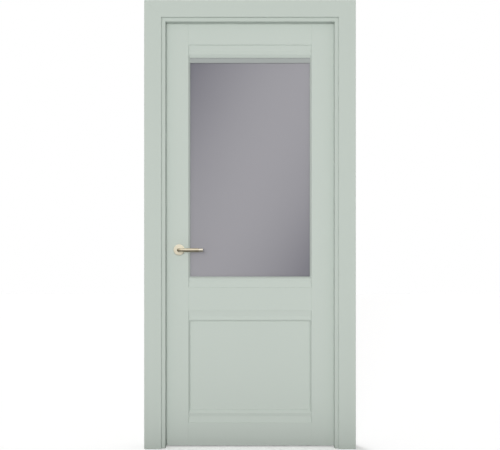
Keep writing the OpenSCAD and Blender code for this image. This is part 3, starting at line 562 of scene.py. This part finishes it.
for member, node in (("lock", "seal_lock_side"), ("hinge", "seal_hinge_side"), ("head", "seal_head")):
    stands_for(make_piece("bulb_" + node, prism(*mitred(seal_outline, member)), rubber), node)

# ---- Stiles ----------------------------------------------------------------------------------------
# The leaf's two uprights, sprayed as part of the leaf. Their inner edges slope down to a lip beside the
# groove, a fine V marks the joint with the rails, and pockets are milled for the hinges and the latch.

leaf_lacquer = lacquer("leaf_lacquer", (0.524, 0.584, 0.538), (0.544, 0.604, 0.558),
                       edge=(0.63, 0.69, 0.64), seed=7.0)

stile_low, stile_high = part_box("stile_hinge_side")
leaf_face = stile_high.y
leaf_side = stile_high.x
lip_x = stile_low.x
face_x = leaf_side - 0.1085  # where the stile's flat face ends
groove_d = 0.010
groove_x = lip_x + groove_d
groove_half = 0.0051
lip_y = 0.007
joint_v = 0.0005
v_in = joint_v * (face_x - lip_x) / (leaf_face - lip_y)

quarter = [(leaf_side, leaf_face), (face_x + joint_v, leaf_face), (face_x - v_in, leaf_face - joint_v),
           (lip_x, lip_y), (lip_x, groove_half), (groove_x, groove_half)]
quarter_eases = [0.0012, 0.0004, 0.0002, 0.0005, 0.0002, 0.0002]
stile_outline = eased(quarter + [(x, -y) for x, y in reversed(quarter)],
                      quarter_eases + quarter_eases[::-1], steps=5)


def upright(outline, side, low, high):
    """The two ends of a straight upright with a plan outline."""
    x, y = side * outline[:, 0], outline[:, 1]
    return np.stack([x, y, 0 * x + low], axis=1), np.stack([x, y, 0 * x + high], axis=1)


def ring_faces(rows, count, closed):
    """Four-sided faces between rows of ring points: point j of row i meets point j + 1 and row i + 1.
    If closed, the last row meets the first."""
    i, j = np.meshgrid(np.arange(rows if closed else rows - 1), np.arange(count), indexing="ij")
    next_i, next_j = (i + 1) % rows, (j + 1) % count
    corners = [i * count + j, i * count + next_j, next_i * count + next_j, next_i * count + j]
    return np.stack(corners, axis=-1).reshape(-1, 4).tolist()


def turned_solid(profile, centre, axis, sides):
    """A closed solid of revolution about Y or Z. The profile is (radius, place along the axis), closed by
    the axis or by itself, and each ring of points is (radius cos a, radius sin a) round the centre."""
    profile = np.asarray(profile, float)
    a = np.linspace(0, 2 * np.pi, sides, endpoint=False)
    ring = profile[:, None, 0] * np.stack([np.cos(a), np.sin(a)])[:, None, :]
    along = np.broadcast_to(profile[:, 1, None], ring.shape[1:])
    parts = (ring[0], along, ring[1]) if axis == "y" else (ring[0], ring[1], along)
    points = np.stack(parts, axis=-1) + np.asarray(centre)
    mesh = bpy.data.meshes.new("turned")
    mesh.from_pydata(points.reshape(-1, 3).tolist(), [], ring_faces(len(profile), sides, closed=True))
    return mesh


def joined(meshes):
    """Several meshes as one."""
    work = bmesh.new()
    for mesh in meshes:
        work.from_mesh(mesh)
    bmesh.ops.remove_doubles(work, verts=work.verts, dist=1e-7)
    bmesh.ops.recalc_face_normals(work, faces=work.faces)
    result = bpy.data.meshes.new("joined")
    work.to_mesh(result)
    work.free()
    return result


def rod(radius, centre, axis, low, high, sides=32):
    """A plain closed cylinder, as a cutter."""
    return joined([turned_solid([(0, low), (radius, low), (radius, high), (0, high)], centre, axis, sides)])


spindle_low, spindle_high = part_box("spindle")
spindle_at = (np.array(spindle_low) + np.array(spindle_high)) / 2
past = leaf_face + beyond
case_play, case_room_half = 0.001, 0.0085
neck_bore_r, rose_bolt_bore_r, rose_bolt_x = 0.011, 0.0025, 0.019
lock_rooms = [grown("lock_forend", hair, {"x": -leaf_side - beyond}),
              grown("lock_case", case_play, {"x": -leaf_side + case_play, "y": -case_room_half},
                    {"y": case_room_half}),
              rod(neck_bore_r, spindle_at, "y", -past, past)]
lock_rooms += [rod(rose_bolt_bore_r, spindle_at + [x, 0, 0], "y", -past, past, 16)
               for x in (-rose_bolt_x, rose_bolt_x)]
leaf_pockets = [grown(f"hinge_{n}_leaf_plate", hair, {"x": leaf_side - plate_seat},
                      {"x": leaf_side + beyond, "y": leaf_face + beyond}) for n in hinge_names]
for side, node, cutters in ((1, "stile_hinge_side", leaf_pockets), (-1, "stile_lock_side", lock_rooms)):
    body = milled(prism(*upright(stile_outline, side, stile_low.z, stile_high.z)), cutters)
    stands_for(make_piece("leaf_" + node, body, leaf_lacquer), node)

# ---- Rails -----------------------------------------------------------------------------------------
# Three cross-pieces, coped over the stiles' slopes and dowelled to them. Beside the glass and the panel
# the face steps down into a moulding: a long shallow slope, a shorter rise, then a steep fall to the lip.

step_d, slope_w, slope_d, rise_w, rise_d = 0.0025, 0.029, 0.007, 0.015, 0.004
middle_w, end_w = slope_w + rise_w + 0.008, slope_w + rise_w + 0.0155
tenon_x = groove_x - 0.0005
tenon_half, shoulder_y = 0.0050, 0.00505


def rail_end(y):
    """How far a rail reaches sideways at a depth: over the slope, to the lip, and as a tenon inside."""
    return np.interp(np.abs(y), [tenon_half, shoulder_y, lip_y, leaf_face - joint_v, leaf_face],
                     [tenon_x, lip_x, lip_x, face_x - v_in, face_x - joint_v])


def moulded_edge(z, way, width, quirk=0.0):
    """Corners and radii along a moulded edge, from the front face round to the back. A quirk is a fine
    groove at the foot of the step, as deep as it is wide."""
    foot = [((step_d - leaf_face, z), 0.0004)]
    if quirk:
        foot = [((step_d + quirk - leaf_face, z), 0.0002),
                ((step_d + quirk - leaf_face, z + way * quirk), 0.0002),
                ((step_d - leaf_face, z + way * quirk), 0.0003)]
    rise_at, lip_at, groove_at = (z + way * w for w in (slope_w + rise_w, width, width - groove_d))
    front = [((-leaf_face, z), 0.0006)] + foot + [
        ((slope_d - leaf_face, z + way * slope_w), 0.0030), ((rise_d - leaf_face, rise_at), 0.0012),
        ((-lip_y, lip_at), 0.0004), ((-groove_half, lip_at), 0.0002),
        ((-groove_half, groove_at), 0.0), ((-tenon_half, groove_at), 0.0)]
    return front + [((-y, h), r) for (y, h), r in reversed(front)]


def plain_edge(z):
    """Corners and radii along a square edge, with points wherever the rail's end changes its line."""
    depths = (leaf_face - 0.002, lip_y, shoulder_y, tenon_half)
    front = [((-leaf_face, z), 0.0008)] + [((-y, z), 0.0) for y in depths]
    return front + [((-y, h), r) for (y, h), r in reversed(front)]


def rail(name, node, lower, upper):
    """A rail with this lower and upper edge, as wide at each depth as its coped end allows."""
    corners = lower + upper[::-1]
    outline = eased([c for c, _ in corners], [r for _, r in corners], steps=4)
    y, z = outline[:, 0], outline[:, 1]
    end = rail_end(y)
    ends = np.stack([-end, y, z], axis=1), np.stack([end, y, z], axis=1)
    stands_for(make_piece(name, prism(*ends), leaf_lacquer), node)


leaf_bottom, leaf_top = stile_low.z, stile_high.z
bottom_low, bottom_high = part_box("rail_bottom")
middle_low, middle_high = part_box("rail_middle")
top_low, top_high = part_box("rail_top")
rail("moulded_rail_bottom", "rail_bottom",
     plain_edge(leaf_bottom), moulded_edge(bottom_high.z - end_w, 1, end_w))
rail("moulded_rail_middle", "rail_middle",
     moulded_edge(middle_low.z + middle_w, -1, middle_w), moulded_edge(middle_high.z - middle_w, 1, middle_w))
rail("moulded_rail_top", "rail_top",
     moulded_edge(top_low.z + end_w, -1, end_w, quirk=0.0014), plain_edge(leaf_top))

# ---- Dowels ----------------------------------------------------------------------------------------
# Turned beech pegs with fluted sides for the glue, two in each joint of stile and rail. They are
# hidden once the leaf is pressed together.

beech = bpy.data.materials.new("raw_beech")
beech.use_nodes = True
tree = beech.node_tree
bsdf = tree.nodes["Principled BSDF"]
place = tree.nodes.new("ShaderNodeTexCoord")
stretch = tree.nodes.new("ShaderNodeMapping")
stretch.inputs["Scale"].default_value = (14.0, 420.0, 420.0)
grain = tree.nodes.new("ShaderNodeTexNoise")
grain.inputs["Scale"].default_value = 1.0
grain.inputs["Detail"].default_value = 5.0
tree.links.new(place.outputs["Object"], stretch.inputs["Vector"])
tree.links.new(stretch.outputs["Vector"], grain.inputs["Vector"])
tree.links.new(blend_colours(tree, grain.outputs["Fac"], (0.42, 0.27, 0.14), (0.66, 0.48, 0.30)),
               bsdf.inputs["Base Color"])
tree.links.new(span(tree, grain.outputs["Fac"], 0.55, 0.8), bsdf.inputs["Roughness"])
tree.links.new(bump(tree, grain.outputs["Fac"], 0.0002, 0.4), bsdf.inputs["Normal"])
dress(["rail_dowels"], beech)

# ---- Panel and glazing beads -----------------------------------------------------------------------
# The lower panel is a flat sprayed board held in the grooves. Under the top rail a slim bead on each
# face keeps the glass in place; both are pinned and sprayed with the leaf, the beads in a darker green
# that is painted shade, standing for the shadow under the top rail.


def board(name, node, outline, end, material):
    """A piece with an outline of (through, up), reaching sideways to end at each depth."""
    y, z = outline[:, 0], outline[:, 1]
    reach = end(y) if callable(end) else np.full(len(y), end)
    ends = np.stack([-reach, y, z], axis=1), np.stack([reach, y, z], axis=1)
    stands_for(make_piece(name, prism(*ends), material), node)


def ring_of(low, high, ease):
    """The rounded outline of a CAD box's end, in (through, up)."""
    return eased([(low.y, low.z), (high.y, low.z), (high.y, high.z), (low.y, high.z)], ease)


panel_low, panel_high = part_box("lower_panel")
board("flat_panel", "lower_panel", ring_of(panel_low, panel_high, 0.0008), panel_high.x, leaf_lacquer)

# The beads' green is painted darker than the leaf's: painted shade for the shadow under the top rail.
bead_shade_lacquer = lacquer("bead_shade_lacquer", (0.342, 0.370, 0.360), (0.362, 0.390, 0.380),
                       edge=(0.42, 0.45, 0.44), seed=5.0)
bead_low, bead_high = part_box("glazing_bead_front")
bead_gap = 0.0012  # left open over the bead, for pressing it in
bead_slant = 0.0010
bead_near, bead_far = 0.0023, -bead_low.y  # from the pane to the rail's lip
bead_top = bead_high.z - bead_gap


def bead_end(y):
    """A bead runs from stile to stile and never enters their grooves."""
    return rail_end(np.maximum(np.abs(y), groove_half))


for face, node in ((-1, "glazing_bead_front"), (1, "glazing_bead_back")):
    near, far = face * bead_near, face * bead_far
    bead_outline = eased([(near, bead_low.z), (far - face * bead_slant, bead_low.z),
                          (far, bead_low.z + bead_slant), (far, bead_top), (near, bead_top)],
                         [0.0003, 0.0006, 0.0006, 0.0004, 0.0003])
    board("pinned_" + node, node, bead_outline, bead_end, bead_shade_lacquer)

# ---- Glass and its gasket --------------------------------------------------------------------------
# One pane of 4 mm grey glass, etched satin so that it glows softly but cannot be seen through. Its grey is
# painted lighter along a diagonal band and darker towards two corners, a painted reflection of soft light.
# A thin rubber channel holds its edges in the grooves.

glass = bpy.data.materials.new("satin_grey_glass")
glass.use_nodes = True
tree = glass.node_tree
bsdf = tree.nodes["Principled BSDF"]
glass_low, glass_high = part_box("glass_pane")
glass_mid = (glass_low + glass_high) / 2
glass_half = (glass_high - glass_low) / 2
place = tree.nodes.new("ShaderNodeTexCoord")
centred = tree.nodes.new("ShaderNodeMapping")
centred.inputs["Location"].default_value = (-glass_mid.x / glass_half.x, 0.0, -glass_mid.z / glass_half.z)
centred.inputs["Scale"].default_value = (1 / glass_half.x, 1.0, 1 / glass_half.z)
tree.links.new(place.outputs["Object"], centred.inputs["Vector"])
split = tree.nodes.new("ShaderNodeSeparateXYZ")
tree.links.new(centred.outputs["Vector"], split.inputs["Vector"])
# Painted reflection: the grey is lighter along a band from bottom left to top right, darker at the other
# corners.
across = maths(tree, "SUBTRACT", split.outputs["X"], split.outputs["Z"])
cloud = tree.nodes.new("ShaderNodeTexNoise")
cloud.inputs["Scale"].default_value = 1.3
cloud.inputs["Detail"].default_value = 2.0
tree.links.new(place.outputs["Object"], cloud.inputs["Vector"])
drift = maths(tree, "MULTIPLY", maths(tree, "SUBTRACT", cloud.outputs["Fac"], 0.5), 0.6)
off_band = maths(tree, "ADD", maths(tree, "ADD", across, drift), -0.15)
depth = maths(tree, "MULTIPLY", maths(tree, "ABSOLUTE", off_band), 0.5, clamp=True)
depth = maths(tree, "POWER", depth, 1.9)
tree.links.new(blend_colours(tree, depth, (0.344, 0.339, 0.367), (0.163, 0.161, 0.190)),
               bsdf.inputs["Base Color"])
etch = tree.nodes.new("ShaderNodeTexNoise")
etch.inputs["Scale"].default_value = 2600.0
etch.inputs["Detail"].default_value = 2.0
tree.links.new(place.outputs["Object"], etch.inputs["Vector"])
tree.links.new(span(tree, etch.outputs["Fac"], 0.42, 0.58), bsdf.inputs["Roughness"])
tree.links.new(bump(tree, etch.outputs["Fac"], 0.00012, 0.2), bsdf.inputs["Normal"])
bsdf.inputs["Transmission Weight"].default_value = 0.12
bsdf.inputs["IOR"].default_value = 1.5
board("satin_pane", "glass_pane", ring_of(glass_low, glass_high, 0.0006), glass_high.x, glass)

gasket_rubber = rubber.copy()
gasket_rubber.name = "gasket_rubber"
dress(["glass_gasket"], gasket_rubber)

# ---- Metals ----------------------------------------------------------------------------------------
# Hinges and latch parts. The hinges and the forend are plated in the handles' pale gold, while the
# strike plate, the case and the screws are zinc-plated steel with a drawn grain.

# Drawn grain: fine scratches that run along one axis, picked by the stretch
GRAIN, group_in, group_out = new_group(
    "drawn_grain", [("Stretch", "NodeSocketVector", (40.0, 2600.0, 2600.0))],
    [("Height", "NodeSocketFloat"), ("Sheen", "NodeSocketFloat")])
place = GRAIN.nodes.new("ShaderNodeTexCoord")
scaled = GRAIN.nodes.new("ShaderNodeVectorMath")
scaled.operation = "MULTIPLY"
GRAIN.links.new(place.outputs["Object"], scaled.inputs[0])
GRAIN.links.new(group_in.outputs["Stretch"], scaled.inputs[1])
lines = GRAIN.nodes.new("ShaderNodeTexNoise")
lines.inputs["Scale"].default_value = 1.0
lines.inputs["Detail"].default_value = 4.0
GRAIN.links.new(scaled.outputs["Vector"], lines.inputs["Vector"])
smudge = GRAIN.nodes.new("ShaderNodeTexNoise")
smudge.inputs["Scale"].default_value = 70.0
smudge.inputs["Detail"].default_value = 3.0
GRAIN.links.new(place.outputs["Object"], smudge.inputs["Vector"])
GRAIN.links.new(lines.outputs["Fac"], group_out.inputs["Height"])
both = maths(GRAIN, "MULTIPLY", maths(GRAIN, "ADD", lines.outputs["Fac"], smudge.outputs["Fac"]), 0.5)
GRAIN.links.new(both, group_out.inputs["Sheen"])


def metal(name, low, high, edge, stretch, smooth, rough):
    """Plated metal with a drawn grain, with a painted highlight a little brighter along its arrises."""
    material = bpy.data.materials.new(name)
    material.use_nodes = True
    tree = material.node_tree
    bsdf = tree.nodes["Principled BSDF"]
    grain = use_group(tree, GRAIN, Stretch=stretch)
    arris = use_group(tree, ARRIS, Gain=3.0)
    body = blend_colours(tree, grain.outputs["Sheen"], low, high)
    # Painted highlight: arrises are painted towards the paler edge colour.
    edges = maths(tree, "MULTIPLY", arris.outputs["Edge"], 0.6)
    tree.links.new(blend_colours(tree, edges, body, edge), bsdf.inputs["Base Color"])
    tree.links.new(span(tree, grain.outputs["Sheen"], smooth, rough), bsdf.inputs["Roughness"])
    tree.links.new(bump(tree, grain.outputs["Height"], 0.00006, 0.25), bsdf.inputs["Normal"])
    bsdf.inputs["Metallic"].default_value = 1.0
    return material


# The third gold is a painted highlight, laid along arrises.
gold_low, gold_high, gold_arris_highlight = (0.58, 0.515, 0.385), (0.70, 0.625, 0.475), (0.88, 0.81, 0.67)
upright_gold = metal("pale_gold_upright", gold_low, gold_high, gold_arris_highlight, (2600.0, 2600.0, 40.0), 0.26, 0.44)
plated_steel = metal("zinc_plated_steel", (0.50, 0.51, 0.52), (0.68, 0.69, 0.69), (0.82, 0.82, 0.80),
                     (2200.0, 2200.0, 60.0), 0.30, 0.52)
dress([f"hinge_{n}_{half}" for n in hinge_names for half in ("frame_plate", "leaf_plate")], upright_gold)
dress(["hinge_frame_screws", "hinge_leaf_screws", "lock_forend", "forend_screws"], upright_gold)
dress(["strike_plate", "strike_screws", "frame_corner_screws", "lock_case", "lock_cover", "latch_spring",
       "rose_base_front", "rose_base_back", "rose_bolts", "spindle", "lock_follower", "latch_bolt",
       "grub_screws"], plated_steel)

# ---- Hinge pins ------------------------------------------------------------------------------------
# Pins of pale gold plated steel, turned on a lathe and pressed through the five knuckles of each hinge.
# A small rounded finial closes each end.


def pin_profile(low, high, pin_r, cap_r, cap_h, steps=8):
    """Radius and height up a pin: an upturned dome, the straight pin and a dome, each dome a quarter
    circle squeezed to the cap's height."""
    a = np.linspace(0, np.pi / 2, steps)
    dome = np.stack([cap_r * np.sin(a), high + cap_h * np.cos(a)], axis=1)
    foot = np.stack([cap_r * np.cos(a), low - cap_h * np.sin(a)], axis=1)
    return np.concatenate([foot[::-1], [[pin_r, low], [pin_r, high]], dome[::-1]])


pin_r, finial_h = 0.003, 0.003
for n in hinge_names:
    node = f"hinge_{n}_pin"
    low, high = (np.array(c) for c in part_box(node))
    profile = pin_profile(low[2] + finial_h, high[2] - finial_h, pin_r, (high[0] - low[0]) / 2, finial_h)
    centre = [(low[0] + high[0]) / 2, (low[1] + high[1]) / 2, 0.0]
    stands_for(make_piece("turned_" + node, turned_solid(profile, centre, "z", 48), upright_gold), node)

# ---- Roses -----------------------------------------------------------------------------------------
# Thin pressed covers that snap over the rose bases. Each has a softly rounded rim, a flat face spun to
# a satin finish with fine rings, and a hole with a narrow collar round the lever's neck. Their pale
# champagne gold is painted paler than the levers', a painted highlight from the light they face.

spun_gold_highlit = bpy.data.materials.new("pale_gold_spun")
spun_gold_highlit.use_nodes = True
tree = spun_gold_highlit.node_tree
bsdf = tree.nodes["Principled BSDF"]
place = tree.nodes.new("ShaderNodeTexCoord")
centred = tree.nodes.new("ShaderNodeMapping")
centred.inputs["Location"].default_value = (-spindle_at[0], 0.0, -spindle_at[2])
tree.links.new(place.outputs["Object"], centred.inputs["Vector"])
flat = tree.nodes.new("ShaderNodeVectorMath")
flat.operation = "MULTIPLY"
flat.inputs[1].default_value = (1.0, 0.0, 1.0)
tree.links.new(centred.outputs["Vector"], flat.inputs[0])
radius = tree.nodes.new("ShaderNodeVectorMath")
radius.operation = "LENGTH"
tree.links.new(flat.outputs["Vector"], radius.inputs[0])
rings = tree.nodes.new("ShaderNodeTexNoise")
rings.noise_dimensions = "1D"
rings.inputs["Scale"].default_value = 1.0
rings.inputs["Detail"].default_value = 4.0
tree.links.new(maths(tree, "MULTIPLY", radius.outputs["Value"], 2400.0), rings.inputs["W"])
arris = use_group(tree, ARRIS, Gain=3.0)
# A painted highlight: the rose's gold is paler than the levers' pale gold.
body = blend_colours(tree, rings.outputs["Fac"], (0.86, 0.79, 0.62), (0.94, 0.87, 0.70))
tree.links.new(blend_colours(tree, maths(tree, "MULTIPLY", arris.outputs["Edge"], 0.6), body, gold_arris_highlight),
               bsdf.inputs["Base Color"])
tree.links.new(span(tree, rings.outputs["Fac"], 0.24, 0.42), bsdf.inputs["Roughness"])
tree.links.new(bump(tree, rings.outputs["Fac"], 0.00006, 0.25), bsdf.inputs["Normal"])
bsdf.inputs["Metallic"].default_value = 1.0

rose_low, rose_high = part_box("rose_cover_back")
rose_r = (rose_high.x - rose_low.x) / 2
rose_t = rose_high.y - rose_low.y
wall, rim, hole = 0.001, 0.0022, 0.0078
collar_r, collar_h = hole + 0.0016, 0.0004
rose_face = rose_t - collar_h
rose_outline = eased(
    [(rose_r - wall, 0), (rose_r, 0), (rose_r, rose_face), (collar_r, rose_face), (collar_r, rose_t),
     (hole, rose_t), (hole, rose_t - wall), (rose_r - wall, rose_face - wall)],
    [0.0003, 0.0003, rim, 0.0003, 0.0002, 0.0003, 0.0002, 0.0012], steps=8)
for face, node in ((-1, "rose_cover_front"), (1, "rose_cover_back")):
    profile = np.stack([rose_outline[:, 0], face * (leaf_face + rose_outline[:, 1])], axis=1)
    centre = [spindle_at[0], 0.0, spindle_at[2]]
    stands_for(make_piece("spun_" + node, turned_solid(profile, centre, "y", 128), spun_gold_highlit), node)

# ---- Levers ----------------------------------------------------------------------------------------
# Cast and polished to satin: a round neck that bends through a right angle into a thicker round grip,
# a narrow turned ring and a slightly slimmer end cap. The bore takes the square spindle and a grub screw.

long_gold = metal("pale_gold_lever", gold_low, gold_high, gold_arris_highlight, (30.0, 2400.0, 2400.0), 0.22, 0.38)

lever_low, lever_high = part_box("lever_back")
grip_r = (lever_high.z - lever_low.z) / 2
lever_out = lever_high.y - grip_r
lever_l = lever_high.x - spindle_at[0]
neck_r, bend_r, cap_r = 0.0075, 0.014, 0.0085
grip_start, ring_w, cap_l = 0.023, 0.002, 0.020

# Painted highlight: the cap is paler than the grip. Painted shade: the neck beside the rose is darker.
tree = long_gold.node_tree
bsdf = tree.nodes["Principled BSDF"]
place = tree.nodes.new("ShaderNodeTexCoord")
along = tree.nodes.new("ShaderNodeSeparateXYZ")
tree.links.new(place.outputs["Object"], along.inputs["Vector"])
cap_x = lever_high.x - cap_l
tone = bsdf.inputs["Base Color"].links[0].from_socket
for start, end, share, colour in ((cap_x - 0.0005, cap_x + 0.0005, 0.5, (0.90, 0.86, 0.74)),
                                  (spindle_at[0] + 0.013, spindle_at[0] - 0.001, 0.65, (0.30, 0.22, 0.12))):
    reach = tree.nodes.new("ShaderNodeMapRange")
    reach.inputs["From Min"].default_value = start
    reach.inputs["From Max"].default_value = end
    reach.inputs["To Max"].default_value = share
    tree.links.new(along.outputs["X"], reach.inputs["Value"])
    tone = blend_colours(tree, reach.outputs["Result"], tone, colour)
tree.links.new(tone, bsdf.inputs["Base Color"])


def lever_centre(s, neck_l):
    """The lever's centre line: straight off the leaf, a quarter circle, then straight along the leaf.
    Gives the place across and outwards, and the direction, at each distance s from the neck's foot."""
    a = np.clip((s - neck_l) / bend_r, 0, np.pi / 2)
    across = bend_r * (1 - np.cos(a)) + np.maximum(s - neck_l - bend_r * np.pi / 2, 0)
    outwards = np.minimum(s, neck_l) + bend_r * np.sin(a)
    return across, outwards, a


def smooth(x, low, high):
    """0 below low, 1 above high, and an even S between them."""
    t = np.clip((x - low) / (high - low), 0, 1)
    return t * t * (3 - 2 * t)


def lever_radius(across, on_bar):
    """The radius along the bar: neck, a soft shoulder up to the grip, the ring and the domed cap. The
    cap's end is a quarter circle: r less dome (1 - sqrt(1 - t t)), with t from 0 to 1 over the dome."""
    cap_at = lever_l - cap_l
    chamfer, dome = 0.0007, 0.0018
    r = neck_r + (grip_r - neck_r) * smooth(across, grip_start - 0.003, grip_start + 0.0015)
    r = r - (r - neck_r) * smooth(across, cap_at - ring_w - chamfer, cap_at - ring_w)
    r = r + (cap_r - neck_r) * smooth(across, cap_at, cap_at + chamfer)
    t = np.clip((across - (lever_l - dome)) / dome, 0, 1)
    r = r - dome * (1 - np.sqrt(1 - t * t))
    return np.where(on_bar, r, neck_r)


neck_low = 0.0005
neck_l = lever_out - leaf_face - bend_r - neck_low
quarter_l = bend_r * np.pi / 2
bar_from = neck_l + quarter_l
bar_l = lever_l - bend_r
ring_at = (lever_l - cap_l - bend_r) / bar_l
# Places along the bar, closer together at the shoulder, the ring and the cap's dome.
bar_shares = np.concatenate([np.linspace(0, 1, 60), np.linspace(0.04, 0.12, 14),
                             ring_at + np.linspace(-0.035, 0.02, 24), 1 - np.geomspace(0.03, 1e-5, 24)])
stations = np.unique(np.concatenate([np.linspace(0, neck_l, 6), neck_l + np.linspace(0, 1, 25) * quarter_l,
                                     bar_from + np.clip(bar_shares, 0, 1) * bar_l]))
across, outwards, a = lever_centre(stations, neck_l)
radius_along = lever_radius(across, stations > bar_from)
around = np.linspace(0, 2 * np.pi, 64, endpoint=False)
in_plane = radius_along[:, None] * np.cos(around)[None, :]
lever_x = spindle_at[0] + across[:, None] - np.cos(a)[:, None] * in_plane
lever_y = leaf_face + neck_low + outwards[:, None] + np.sin(a)[:, None] * in_plane
lever_z = spindle_at[2] + radius_along[:, None] * np.sin(around)[None, :]
ring_points = np.stack([lever_x, lever_y, lever_z], axis=-1)
foot = np.broadcast_to(ring_points[0].mean(axis=0), ring_points[:1].shape)
tip = np.broadcast_to(ring_points[-1].mean(axis=0), ring_points[:1].shape)
lever_points = np.concatenate([foot, ring_points, tip])
lever_faces = ring_faces(len(lever_points), len(around), closed=False)
grub_low, grub_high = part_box("grub_screws")
grub_r, grub_fit = 0.0025, 0.0001
grub_bore_low, grub_bore_high = -0.010, -0.002
grub_y = (grub_high.y - grub_low.y) / 2 - grub_r
socket_half, socket_mid, socket_reach = 0.0041, 0.035, 0.0145
for face, node in ((-1, "lever_front"), (1, "lever_back")):
    mesh = bpy.data.meshes.new("lever")
    mesh.from_pydata((lever_points * [1, face, 1]).reshape(-1, 3).tolist(), [], lever_faces)
    socket = block(spindle_at + [-socket_half, face * socket_mid - socket_reach, -socket_half],
                   spindle_at + [socket_half, face * socket_mid + socket_reach, socket_half])
    grub_at = spindle_at + [0, face * grub_y, 0]
    grub_hole = rod(grub_r + grub_fit, grub_at, "z", grub_bore_low, grub_bore_high, 24)
    mesh = milled(joined([mesh]), [socket, grub_hole])
    stands_for(make_piece("cast_" + node, mesh, long_gold), node)
